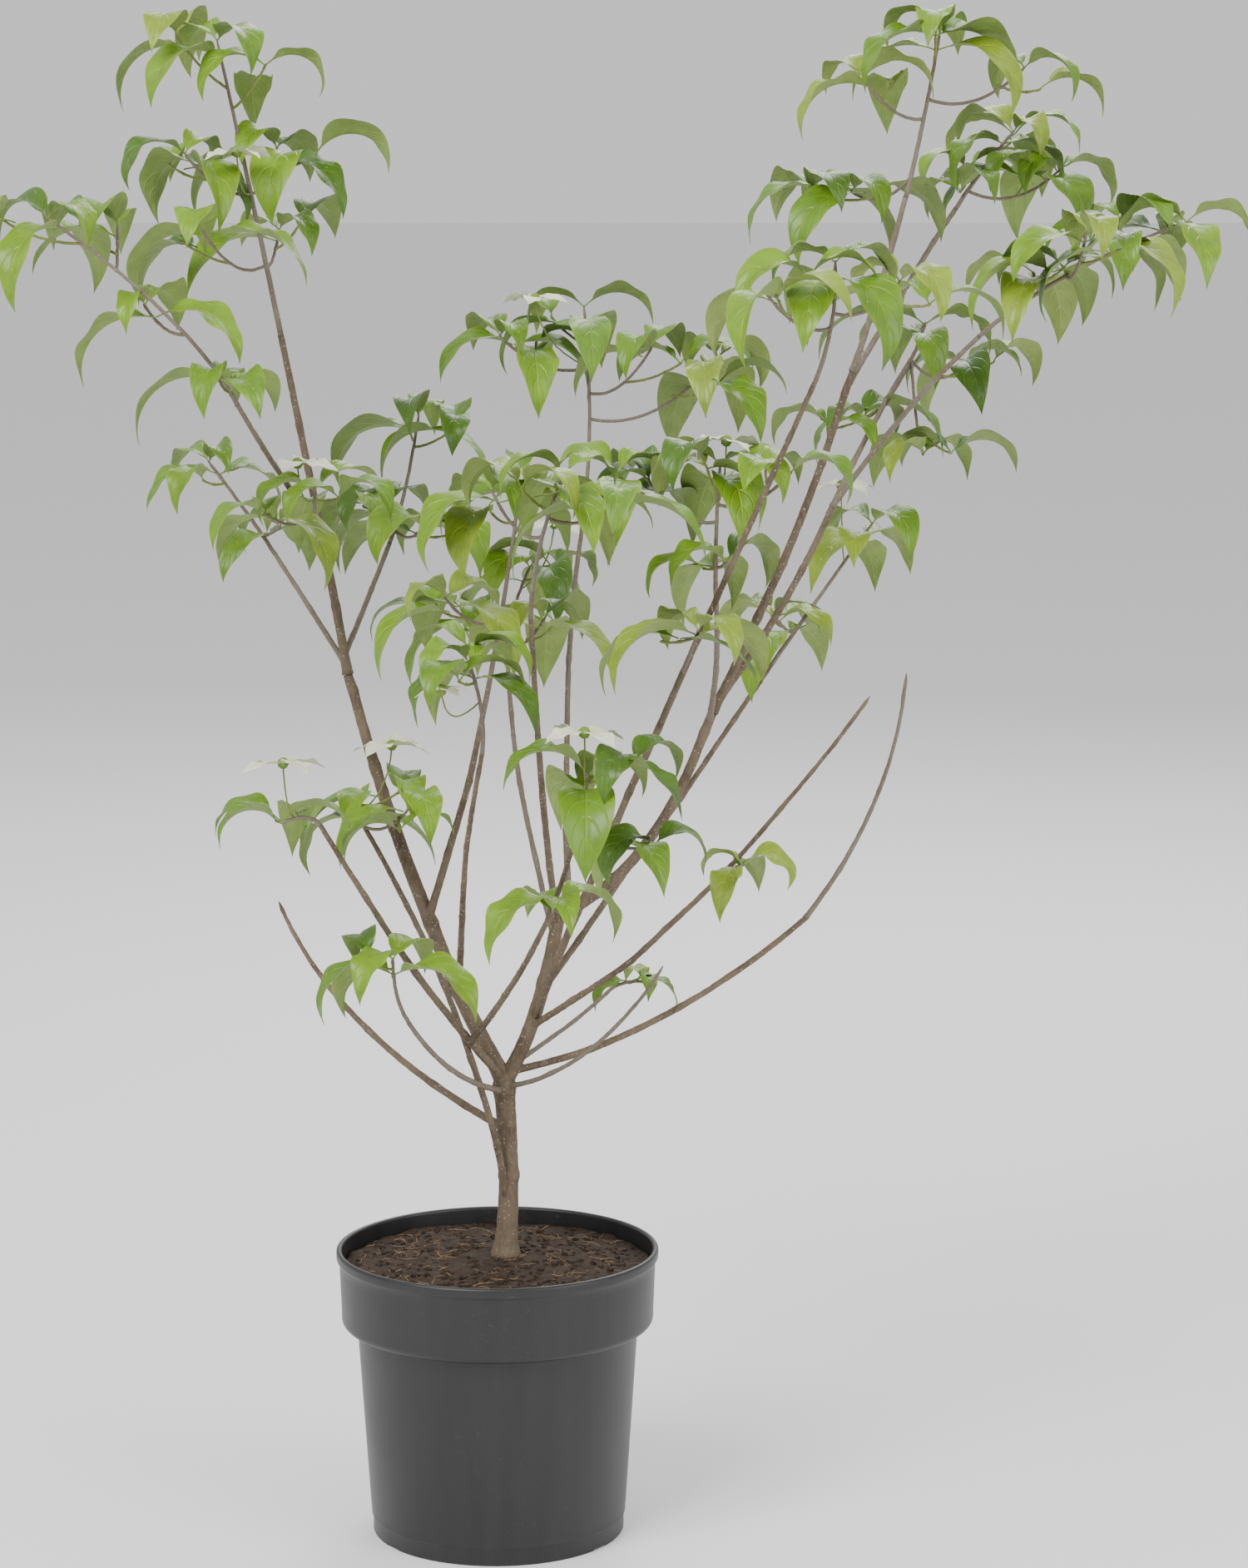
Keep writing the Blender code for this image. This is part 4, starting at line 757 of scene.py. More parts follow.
class Mass:
    """One mass of foliage while it grows: its twigs and leaves, and what they keep clear of."""

    def __init__(self, obstacles):
        self.obstacles = obstacles
        self.blades = []
        self.grown = []
        self.twigs = []
        self.leaves = []
        self.bracts = []
        self.buttons = []
        self.spray = 0

    def is_clear(self, shape):
        """True if a shape crosses no limb, no other mass and no leaf of this mass."""
        own = tree_of(*shape)
        return not any(own.overlap(other) for other in self.obstacles + self.blades)

    def add_tube(self, points, radii):
        """Room for a twig, unless it would touch a limb or another mass."""
        beyond = points[0].lerp(points[1], 0.5)
        guarded = tube([beyond] + points[1:], [radius + GUARD for radius in radii], TWIG_SIDES)
        own = tree_of(*guarded)
        if any(own.overlap(other) for other in self.obstacles):
            return False
        self.grown.append(tree_of(*tube(points, radii, TWIG_SIDES)))
        return True

    def add_leaf(self, rows, root, heading, rise, droop, length, width):
        """A leaf in the rows, unless its blade would touch a limb, another mass or another leaf."""
        outward = Vector((math.cos(heading), math.sin(heading), math.sin(rise)))
        beyond = root + outward * PETIOLE
        guarded = leaf_shape(beyond, heading, rise, droop, length - PETIOLE, width, GUARD)
        if not self.is_clear(guarded):
            return False
        shape = leaf_shape(root + outward * LEAF_ROOT, heading, rise, droop, length, width)
        self.blades.append(tree_of(*shape))
        self.grown.append(self.blades[-1])
        rows.append((*(root + outward * LEAF_ROOT), heading, rise, droop, length, width, self.spray))
        return True


def grow_leaves(mass, tip, direction, count, size, dice):
    """Opposite pairs round a shoot's tip, each pair turned a right angle from the last."""
    mass.spray += 1
    turn = dice.uniform(0.0, math.pi)
    for pair in range(math.ceil(count / 2)):
        root = tip - direction * (TIP_SETBACK + PAIR_SPACING * pair)
        high = 1.0 if pair == 0 else LOWER_PAIR_RISE / pair
        for half in range(2):
            if 2 * pair + half >= count:
                return
            scale = size * (YOUNGEST_PAIR_SIZE if pair == 0 else 1.0)
            base = turn + 0.5 * math.pi * pair + math.pi * half
            for attempt in range(LEAF_TRIES):
                length = scale * spread(*LEAF_LENGTH, dice.random())
                scatter = HEADING_SCATTER[0] + HEADING_SCATTER[1] * attempt
                heading = base + math.radians(dice.uniform(-1.0, 1.0) * scatter)
                rise = math.radians(spread(*LEAF_RISE, high) + dice.uniform(-RISE_SCATTER, RISE_SCATTER))
                droop = math.radians(spread(*LEAF_DROOP, dice.random()))
                width = length * LEAF_WIDTH_SHARE * dice.uniform(*WIDTH_SCATTER)
                if mass.add_leaf(mass.leaves, root, heading, rise, droop, length, width):
                    break


def grow_tuft(mass, line, centre, half_width, leaves, dice):
    """A tuft at a twig's end: one shoot to its centre and others spread round it."""
    shoots = math.ceil(leaves / LEAVES_PER_SHOOT)
    shares = [leaves // shoots + (1 if index < leaves % shoots else 0) for index in range(shoots)]
    size = min(1.0, half_width / FULL_TUFT)
    leading = (line[-1] - line[-2]).normalized()
    grow_leaves(mass, centre, leading, shares[0], size, dice)
    room = max(0.0, half_width - TUFT_EDGE)
    first_turn = dice.uniform(0.0, math.tau)
    for index in range(1, shoots):
        turn = first_turn + math.tau * index / (shoots - 1) + dice.uniform(-SHOOT_TURN, SHOOT_TURN)
        reach = room * dice.uniform(*SHOOT_REACH)
        offset = Vector((math.cos(turn) * reach, math.sin(turn) * reach, dice.uniform(*SHOOT_HEIGHTS)))
        start = line[-2].lerp(line[-1], dice.uniform(*SHOOT_STARTS))
        tip = centre + offset
        radius = SHOOT_DIAMETER / 2.0
        if mass.add_tube([start, tip], [radius, radius]):
            low = Vector((0.0, 0.0, TWIG_SAG * 0.5 * (tip - start).length))
            pairs = math.ceil(shares[index] / 2)
            mass.twigs.append((start, start.lerp(tip, 0.5) - low, tip, *FINE_SHOOT, pairs, 1))
            grow_leaves(mass, tip, (tip - start).normalized(), shares[index], size, dice)


def grow_flower(mass, line, centre, bract_length, dice):
    """A flower head on its stalk: four pointed bracts round a button."""
    start = leave_point(line, centre)
    lowered = centre - Vector((0.0, 0.0, STALK_LENGTH))
    points = bow(start, start.lerp(lowered, STALK_BEND), centre, TWIG_RINGS)
    if not mass.add_tube(points, [STALK_DIAMETER / 2.0] * len(points)):
        return
    mass.twigs.append((start, points[1], centre, FINE_STALK, FINE_STALK, 0, 2))
    mass.spray += 1
    turn = dice.uniform(0.0, math.tau)
    mass.buttons.append(tuple(centre))
    for bract in range(BRACTS):
        heading = turn + math.tau * bract / BRACTS
        rise = math.radians(dice.uniform(*BRACT_RISE))
        width = bract_length * BRACT_WIDTH_SHARE
        droop = math.radians(BRACT_DROOP)
        mass.add_leaf(mass.bracts, centre, heading, rise, droop, bract_length, width)


def grow_mass(row, index, lines, obstacles, thin):
    """Every twig and leaf of one mass, by the seeded rule."""
    _, limb, share, tufts, flowers = row
    dice = random.Random(SEED + index)
    mass = Mass(obstacles)
    last = Vector(tufts[-1][0])
    line = stem_line(lines, limb, share, last)
    stem = bow(*line, STEM_RINGS)
    radii = []
    for step in range(len(stem)):
        radii.append(spread(thin, STEM_TIP_DIAMETER, step / (len(stem) - 1)) / 2.0)
    mass.grown.append(tree_of(*tube(stem, radii, TWIG_SIDES)))
    mass.twigs.append((*line, thin, FINE_STEM_TIP, 2, 0))
    for centre, bract_length in flowers:
        grow_flower(mass, line, Vector(centre), bract_length, dice)
    for centre, half_width, leaves in reversed(tufts):
        centre = Vector(centre)
        if centre == last:
            grow_tuft(mass, stem, centre, half_width, leaves, dice)
            continue
        start = leave_point(line, centre)
        low = Vector((0.0, 0.0, TWIG_SAG * (centre - start).length))
        twig = bow(start, start.lerp(centre, 0.5) - low, centre, TWIG_RINGS)
        thick = TWIG_DIAMETER / 2.0
        if mass.add_tube(twig, [thick] * len(twig)):
            mass.twigs.append((start, start.lerp(centre, 0.5) - low, centre, *FINE_TWIG, 2, 0))
            grow_tuft(mass, twig, centre, half_width, leaves, dice)
    return mass


def limb_lines():
    """Each limb's line, as its foot, a point half way and its tip, and what its neighbours keep clear of."""
    lines = {"trunk": trunk_line()}
    guards = {"trunk": tube(*trunk_rings(CUT_GAP), TRUNK_SIDES)}
    for name, parent, share, via, tip, thick, thin in LIMBS:
        line = (bow_at(*lines[parent], share), Vector(via), Vector(tip))
        lines[name] = line
        guards[name] = limb_tube(line, thick, thin, CUT_GAP)
    return lines, guards


def grow_crown():
    """Every mass of foliage by its name, grown in the order of the table."""
    lines, guards = limb_lines()
    limb_trees = [tree_of(*guard) for guard in guards.values()]
    thin_ends = {row[0]: row[6] for row in LIMBS}
    crown = {}
    grown = []
    for index, row in enumerate(MASSES):
        name, limb, share = row[:3]
        thin = MILLIMETRE * thin_ends[limb] if share == 1.0 else STEM_TIP_DIAMETER
        mass = grow_mass(row, index, lines, limb_trees + grown, thin)
        grown += mass.grown
        crown[name] = mass
    return crown


def blade_grid(rows, dice, fold, wave, quilt):
    """Points of many arched blades at once, as an array of blade, ring and column.

    Each midrib lies at slope(s) = rise + (droop - rise) s^curl, summed over equal steps. Across
    it a blade is half(s) wide on each side, where half is s'^a (1 - s')^b past the stalk. Its
    sides turn up by the fold, its margins wave by sin(n s) and it is quilted between veins."""
    rows = np.asarray(rows, float)
    count = len(rows)
    root = rows[:, 0:3]
    heading, rise, droop, length, width = rows[:, 3:8].T
    steps = MIDRIB_STEPS
    share = (np.arange(steps) + 0.5) / steps
    slope = rise[:, None] + (droop - rise)[:, None] * share**LEAF_CURL
    step = length[:, None] / steps
    nought = np.zeros((count, 1))
    run = np.concatenate([nought, np.cumsum(np.cos(slope) * step, axis=1)], axis=1)
    climb = np.concatenate([nought, np.cumsum(np.sin(slope) * step, axis=1)], axis=1)
    slope = np.concatenate([rise[:, None], slope], axis=1)
    along = np.linspace(0.0, 1.0, steps + 1)
    ahead = np.stack([np.cos(heading), np.sin(heading), 0.0 * heading], axis=-1)[:, None]
    side = np.stack([-np.sin(heading), np.cos(heading), 0.0 * heading], axis=-1)[:, None]
    up = np.array([0.0, 0.0, 1.0])
    sway = dice.uniform(-BLADE_SWAY, BLADE_SWAY, (count, 1)) * length[:, None] * along**2
    line = root[:, None] + ahead * run[..., None] + up * climb[..., None] + side * sway[..., None]
    normal = up * np.cos(slope)[..., None] - ahead * np.sin(slope)[..., None]
    root_roll, more_roll = (dice.uniform(-most, most, (count, 1)) for most in BLADE_ROLL)
    roll = ((root_roll + more_roll * along) * smooth_step(along, 0.0, ROLL_START))[..., None]
    turned_side = side * np.cos(roll) + normal * np.sin(roll)
    turned_normal = normal * np.cos(roll) - side * np.sin(roll)

    top = np.array(BLADE_COLUMNS)
    across = np.concatenate([top, top[-2:0:-1]])
    over = np.concatenate([np.ones(len(top)), -np.ones(len(top) - 2)])
    rib = np.clip((along - PETIOLE_SHARE) / (1.0 - PETIOLE_SHARE), 0.0, 1.0)
    rise_power, fall_power = WIDTH_POWERS
    peak = rise_power / (rise_power + fall_power)
    highest = peak**rise_power * (1.0 - peak) ** fall_power
    outline = rib**rise_power * (1.0 - rib) ** fall_power / highest
    stalk = PETIOLE_RADIUS * (1.0 - along) ** STALK_POWER
    half = stalk + 0.5 * width[:, None] * outline
    blade = smooth_step(along, PETIOLE_SHARE, PETIOLE_SHARE + STALK_BLEND)
    thick = stalk * (1.0 - blade) + BLADE_THICKNESS * blade
    reach = half[:, :, None] * across
    turn = np.radians(dice.uniform(*fold, (count, 1))) * blade * (1.0 - FOLD_FADE * along)
    lift = np.tan(turn)[..., None] * (np.sqrt(reach**2 + KEEL_ROUND**2) - KEEL_ROUND)
    size = (half / np.maximum(half.max(axis=1, keepdims=True), 1e-9))[..., None]
    left, right = dice.uniform(0.0, math.tau, (2, count, 1, 1))
    often = dice.uniform(*WAVE_COUNT, (count, 1, 1))
    phase = np.where(across > 0.0, left, right) + math.tau * often * along[None, :, None]
    height = dice.uniform(*wave, (count, 1, 1))
    lift = lift + height * size * np.abs(across) ** WAVE_POWER * np.sin(phase)
    vein = VEIN_PAIRS * (along[None, :, None] - VEIN_SWEEP * np.abs(across) ** VEIN_POWER)
    bulge = (0.5 - 0.5 * np.cos(math.tau * vein)) * np.sin(math.pi * np.clip(np.abs(across), 0.0, 1.0))
    lift = lift + quilt * size * bulge * blade[None, :, None]
    lift = lift + over * thick[..., None] * np.sqrt(np.clip(1.0 - across**2, 0.0, 1.0))
    ridge = (RIDGE_HEIGHT * (1.0 - along) * blade)[None, :, None]
    lift = lift - np.where(over < 0.0, 1.0, 0.0) * ridge * np.exp(-((reach / RIDGE_WIDTH) ** 2))
    points = line[:, :, None] + turned_side[:, :, None] * reach[..., None]
    points = points + turned_normal[:, :, None] * lift[..., None]
    return points, across, along


def add_blades(surface, rows, tints, dice, fold, wave, quilt):
    """Closed thin blades: the finish is twice the tint above, and one more beneath."""
    points, across, along = blade_grid(rows, dice, fold, wave, quilt)
    count, rings, columns = points.shape[:3]
    body = points[:, :-1].reshape(count, -1, 3)
    tips = points[:, -1].mean(axis=1, keepdims=True)
    corners = np.concatenate([body, tips], axis=1)
    each = corners.shape[1]
    quads = grid_faces(rings - 1, columns)
    last = (rings - 2) * columns + np.arange(columns)
    follow = (rings - 2) * columns + (np.arange(columns) + 1) % columns
    fans = np.stack([last, follow, np.full(columns, each - 1)], axis=-1)
    caps = np.arange(columns)[::-1][None, :]
    top_columns = len(BLADE_COLUMNS) - 1
    under_ring = (np.arange(columns) >= top_columns).astype(int)
    under = np.tile(under_ring, rings - 2)
    places = np.stack(np.broadcast_arrays((across + 1.0) / 2.0, along[:-1, None]), axis=-1)
    places = np.concatenate([places.reshape(-1, 2), [[0.5, 1.0]]])
    starts = (np.arange(count) * each)[:, None, None]
    blocks = [(quads, under), (fans, under_ring), (caps, np.ones(1, int))]
    finishes = [np.repeat(2 * tints, len(block)) + np.tile(mark, count) for block, mark in blocks]
    faces = [(block + starts).reshape(-1, block.shape[1]) for block, _ in blocks]
    surface.add(corners, faces, finishes, np.tile(places, (count, 1)))


def body_radius(height):
    """The body's outer radius at a height, between the seam and the collar's foot."""
    share = (height - SEAM_HEIGHT) / (POT_HEIGHT - COLLAR_HEIGHT - SEAM_HEIGHT)
    return (BODY_FOOT_DIAMETER + share * (BODY_TOP_DIAMETER - BODY_FOOT_DIAMETER)) / 2.0


class Value:
    """A number that varies over a surface. Arithmetic on it adds Math nodes."""

    def __init__(self, kit, socket):
        self.kit = kit
        self.socket = socket

    def math(self, operation, *others):
        values = {0: self}
        values.update({index + 1: other for index, other in enumerate(others)})
        return self.kit.number("ShaderNodeMath", {"operation": operation}, values)

    def turned_math(self, operation, other):
        return self.kit.number("ShaderNodeMath", {"operation": operation}, {0: other, 1: self})

    def __add__(self, other):
        return self.math("ADD", other)

    def __radd__(self, other):
        return self.math("ADD", other)

    def __sub__(self, other):
        return self.math("SUBTRACT", other)

    def __rsub__(self, other):
        return self.turned_math("SUBTRACT", other)

    def __mul__(self, other):
        return self.math("MULTIPLY", other)

    def __rmul__(self, other):
        return self.math("MULTIPLY", other)

    def __truediv__(self, other):
        return self.math("DIVIDE", other)

    def __rtruediv__(self, other):
        return self.turned_math("DIVIDE", other)

    def __pow__(self, other):
        return self.math("POWER", other)

    def absolute(self):
        return self.math("ABSOLUTE")

    def fraction(self):
        return self.math("FRACT")

    def above(self, low, high):
        """0 below low and 1 above high, in a straight line between."""
        values = {"Value": self, "From Min": low, "From Max": high}
        return self.kit.number("ShaderNodeMapRange", {"clamp": True}, values)


class Finish:
    """A material under work: every node comes from its one method for nodes."""

    def __init__(self, name, roughness=0.5, specular=0.5):
        self.material = bpy.data.materials.new(name)
        self.material.use_nodes = True
        self.tree = self.material.node_tree
        self.shader = self.tree.nodes["Principled BSDF"]
        self.shader.inputs["Roughness"].default_value = roughness
        self.shader.inputs["Specular IOR Level"].default_value = specular
        self.places = self.node("ShaderNodeTexCoord")

    def plug(self, socket, value):
        if isinstance(value, Value):
            value = value.socket
        if isinstance(value, bpy.types.NodeSocket):
            self.tree.links.new(value, socket)
        else:
            socket.default_value = value

    def node(self, kind, settings=None, values=None):
        """A node of a type, with its settings first, then the values or links of its sockets."""
        made = self.tree.nodes.new(kind)
        for name, setting in (settings or {}).items():
            setattr(made, name, setting)
        for name, value in (values or {}).items():
            self.plug(made.inputs[name], value)
        return made

    def number(self, kind, settings=None, values=None, output=0):
        """The same node, as a number that can be worked with."""
        return Value(self, self.node(kind, settings, values).outputs[output])

    def noise(self, scale, detail=3.0, roughness=0.55, stretch=None):
        """Noise over the object's own coordinates, which are metres."""
        where = self.places.outputs["Object"]
        if stretch:
            where = self.node("ShaderNodeMapping", None, {"Vector": where, "Scale": stretch}).outputs[0]
        values = {"Vector": where, "Scale": scale, "Detail": detail, "Roughness": roughness}
        return self.number("ShaderNodeTexNoise", None, values)

    def flecks(self, scale, size):
        """1 in small round spots: where the distance to the nearest of scattered points is short."""
        values = {"Vector": self.places.outputs["Object"], "Scale": scale}
        distance = self.number("ShaderNodeTexVoronoi", None, values)
        return 1.0 - distance.above(size, 1.6 * size)

    def mix(self, factor, first, second):
        """A colour between two, each given as a colour or as another colour's socket."""
        made = self.node("ShaderNodeMix", {"data_type": "RGBA"})
        self.plug(made.inputs[0], factor)
        for index, colour in ((6, first), (7, second)):
            plain = colour if isinstance(colour, bpy.types.NodeSocket) else (*colour, 1.0)
            self.plug(made.inputs[index], plain)
        return made.outputs[2]

    def paint(self, colour, roughness=None, height=None, depth=0.0005, strength=0.6):
        """Plug the colour, the roughness and the bump into the shader."""
        self.plug(self.shader.inputs["Base Color"], colour)
        if roughness is not None:
            self.plug(self.shader.inputs["Roughness"], roughness)
        if height is not None:
            values = {"Height": height, "Distance": depth, "Strength": strength}
            self.plug(self.shader.inputs["Normal"], self.node("ShaderNodeBump", None, values).outputs[0])
        return self.material


def scaled(colour, share):
    """A colour made darker or lighter by a share."""
    return tuple(min(1.0, part * share) for part in colour)


def vein_lines(kit):
    """How far across and along a blade a point is, and 1 on its veins, from the blade's own map."""
    parts = kit.node("ShaderNodeSeparateXYZ", None, {0: kit.places.outputs["UV"]})
    across = (Value(kit, parts.outputs[0]) * 2.0 - 1.0).absolute()
    along = Value(kit, parts.outputs[1])
    phase = (along - across**VEIN_POWER * VEIN_SWEEP) * VEIN_PAIRS
    near = (phase.fraction() - 0.5).absolute() * 2.0
    side_veins = near.above(*VEIN_EDGE) * (1.0 - across.above(*VEIN_MARGIN)) * along.above(*VEIN_START)
    midrib_line = 1.0 - across.above(*MIDRIB_EDGE)
    both = kit.number("ShaderNodeMath", {"operation": "MAXIMUM"}, {0: side_veins, 1: midrib_line})
    return across, along, both


def leaf_top_finish(name, colour, sheen):
    """A leaf's upper side: satin green with pale sunken veins, mottled, yellower at its margin."""
    kit = Finish(name, specular=0.42)
    across, _, veins = vein_lines(kit)
    mottle = kit.noise(55.0, 4.0)
    dark, light = (scaled(colour, shade) for shade in LEAF_PATCH_SHADES)
    plain = kit.mix(mottle.above(0.3, 0.7), dark, light)
    margin = across.above(*MARGIN_EDGE) * MARGIN_MIX
    plain = kit.mix(margin, plain, [part * tint for part, tint in zip(colour, MARGIN_TINT)])
    vein = [part * tint + glow for part, tint, glow in zip(colour, VEIN_TINT, VEIN_GLOW)]
    lined = kit.mix(veins * VEIN_MIX, plain, vein)
    fine = kit.noise(420.0, 2.0)
    height = fine * 0.25 - veins
    return kit.paint(lined, mottle * 0.16 + sheen, height, **LEAF_BUMP)


def leaf_under_finish(name, colour):
    """A leaf's underside: dull grey green with raised pale veins."""
    kit = Finish(name, specular=0.25)
    _, _, veins = vein_lines(kit)
    mottle = kit.noise(70.0, 3.0)
    dark, light = (scaled(colour, shade) for shade in UNDER_PATCH_SHADES)
    plain = kit.mix(mottle.above(0.3, 0.7), dark, light)
    lined = kit.mix(veins * UNDER_VEIN_MIX, plain, scaled(colour, UNDER_VEIN_SHADE))
    return kit.paint(lined, mottle * 0.1 + 0.55, veins, **LEAF_BUMP)


def bark_finish(name, dark, light, fleck, grain):
    """Bark: two browns in patches, fine grain, and pale flecks."""
    kit = Finish(name, specular=0.3)
    patches = kit.noise(38.0, 5.0, 0.62)
    fine = kit.noise(420.0, 3.0, stretch=(1.0, 1.0, 0.35))
    plain = kit.mix(patches.above(0.34, 0.66), dark, light)
    plain = kit.mix(fine.above(0.45, 0.75) * 0.55, plain, scaled(light, 1.35))
    spots = kit.flecks(330.0, 0.16) * kit.noise(90.0, 2.0).above(0.42, 0.52)
    coloured = kit.mix(spots * 0.8, plain, fleck)
    height = fine * grain + spots * 0.8
    return kit.paint(coloured, fine * 0.25 + 0.58, height, **BARK_BUMP)


def pot_finish(colour):
    """Black nursery plastic: satin, faintly uneven, with a little dust."""
    kit = Finish("pot_black_plastic", specular=0.5)
    haze = kit.noise(9.0, 5.0, 0.6)
    fine = kit.noise(900.0, 2.0)
    streaks = kit.noise(60.0, 3.0, stretch=(1.0, 1.0, 0.08))
    dust = kit.noise(260.0, 4.0, 0.7).above(0.60, 0.72) * haze.above(0.42, 0.62)
    plain = kit.mix(streaks.above(0.35, 0.7), colour, scaled(colour, POT_STREAK_SHADE))
    coloured = kit.mix(dust * POT_DUST_MIX, plain, POT_DUST)
    roughness = 0.30 + haze * 0.18 + dust * 0.2 + streaks * 0.06
    return kit.paint(coloured, roughness, fine * 0.5 + streaks * 0.4, **POT_BUMP)


def soil_finish(colour):
    """Damp peat: near black to warm brown crumbs."""
    kit = Finish("peat_soil", specular=0.25)
    coarse = kit.noise(120.0, 5.0, 0.65)
    fine = kit.noise(700.0, 3.0, 0.6)
    dark, light, crumb = (scaled(colour, shade) for shade in SOIL_SHADES)
    plain = kit.mix(coarse.above(0.35, 0.65), dark, light)
    coloured = kit.mix(fine.above(0.55, 0.75) * 0.6, plain, crumb)
    return kit.paint(coloured, fine * 0.2 + 0.75, coarse + fine * 0.6, **SOIL_BUMP)


def fibre_finish(colour):
    """Pale roots and bark shreds in the peat."""
    kit = Finish("peat_fibres", specular=0.2)
    fine = kit.noise(500.0, 3.0)
    return kit.paint(kit.mix(fine, scaled(colour, 0.6), scaled(colour, 1.3)), fine * 0.2 + 0.7)


def bract_finish(name, colour, green):
    """A bract: cream white with faint veins, greener towards its root and on its midrib."""
    kit = Finish(name, specular=0.3)
    _, along, veins = vein_lines(kit)
    mottle = kit.noise(160.0, 3.0)
    plain = kit.mix(mottle.above(0.35, 0.65), scaled(colour, 0.92), scaled(colour, 1.04))
    rooted = kit.mix((1.0 - along.above(0.05, 0.42)) * 0.75, plain, green)
    lined = kit.mix(veins * 0.3, rooted, green)
    return kit.paint(lined, mottle * 0.15 + 0.45, veins, **BRACT_BUMP)


def button_finish(colour):
    """The green button of small flowers."""
    kit = Finish("flower_button", specular=0.3)
    fine = kit.noise(900.0, 3.0)
    return kit.paint(kit.mix(fine, scaled(colour, 0.6), scaled(colour, 1.5)), fine * 0.2 + 0.5, fine)


def floor_finish(colour):
    """A plain pale matt floor."""
    kit = Finish("pale_floor", specular=0.2)
    soft = kit.noise(3.0, 2.0)
    return kit.paint(kit.mix(soft, scaled(colour, 0.99), colour), 0.8)


def colour_field(name, description, default):
    """A colour among the settings."""
    return FloatVectorProperty(
        name=name, description=description, default=default, subtype="COLOR", size=3, min=0.0, max=1.0,
    )


def length_field(name, description, default):
    """A length among the settings, in metres."""
    return FloatProperty(
        name=name, description=description, default=default, subtype="DISTANCE", unit="LENGTH",
    )


class PotSettings(bpy.types.PropertyGroup):
    """The pot's colour and how finely it is turned."""

    colour: colour_field("Colour", "Base colour of the plastic", (0.0095, 0.0095, 0.0100))
    spokes: IntProperty(name="Spokes", description="Points round the pot", default=288, min=32)


class SoilSettings(bpy.types.PropertyGroup):
    """The peat in the pot."""

    colour: colour_field("Colour", "Middle colour of the peat", (0.030, 0.018, 0.011))
    fibre_colour: colour_field("Fibre colour", "Colour of the shreds in the peat", (0.20, 0.13, 0.075))
    relief: length_field("Relief", "Height of the lumps", 0.0022)


class BarkSettings(bpy.types.PropertyGroup):
    """Colours of the old bark and of the young twigs."""

    dark: colour_field("Old bark, dark", "Darker patches of the old bark", (0.075, 0.052, 0.032))
    light: colour_field("Old bark, light", "Lighter patches of the old bark", (0.150, 0.112, 0.074))
    fleck: colour_field("Flecks", "Pale flecks on the bark", (0.36, 0.31, 0.24))
    twig: colour_field("Young twig", "Bark of last year's twigs", (0.175, 0.150, 0.118))
    shoot: colour_field("New shoot", "This year's green shoots", (0.20, 0.23, 0.055))
    relief: length_field("Relief", "Height of the bark's relief", 0.00035)


class LeafSettings(bpy.types.PropertyGroup):
    """Colours of the leaves, dealt out by spray."""

    bright: colour_field("Bright", "Leaves in full light", (0.155, 0.290, 0.010))
    middle: colour_field("Middle", "Most leaves", (0.110, 0.225, 0.008))
    deep: colour_field("Deep", "Older leaves", (0.062, 0.140, 0.008))
    yellow: colour_field("Yellow green", "Young leaves", (0.215, 0.315, 0.022))
    fresh: colour_field("Fresh", "Leaves between middle and bright", (0.130, 0.260, 0.020))
    underside: colour_field("Underside", "Undersides of the leaves", (0.225, 0.285, 0.095))


class FlowerSettings(bpy.types.PropertyGroup):
    """Colours of the bracts and their buttons."""

    bract: colour_field("Bract", "Cream white of the bracts", (0.78, 0.77, 0.60))
    bract_green: colour_field("Bract root", "Green at a bract's root", (0.46, 0.54, 0.20))
    button: colour_field("Button", "Green of the buttons", (0.16, 0.24, 0.04))


class StageSettings(bpy.types.PropertyGroup):
    """The floor, the light and the camera."""

    floor: colour_field("Floor", "Colour of the floor", (0.86, 0.86, 0.86))
    key: FloatProperty(name="Key light", description="Power in watts", default=190.0, min=0.0)
    fill: FloatProperty(name="Fill light", description="Power in watts", default=70.0, min=0.0)
    sky: FloatProperty(name="Surround", description="Strength of its light", default=0.80, min=0.0)
    lens: FloatProperty(
        name="Lens", description="Focal length on a 36 mm long side", default=95.1,
        subtype="DISTANCE_CAMERA",
    )
    distance: length_field("Distance", "From the pot's axis to the camera", 3.0)
    aside: length_field("Aside", "The camera's place to the right of the pot's axis", 0.0943)
    height: length_field("Height", "The camera's height", 1.02)
    tilt: FloatProperty(
        name="Tilt", description="How far the camera looks down", subtype="ANGLE", unit="ROTATION",
        default=math.radians(8.64),
    )


def round_corner(centre, radius, first, last, steps):
    """Points on an arc from one angle to another, in degrees, as (radius, height)."""
    angle = np.radians(np.linspace(first, last, steps))
    return np.stack([centre[0] + radius * np.cos(angle), centre[1] + radius * np.sin(angle)], axis=-1)


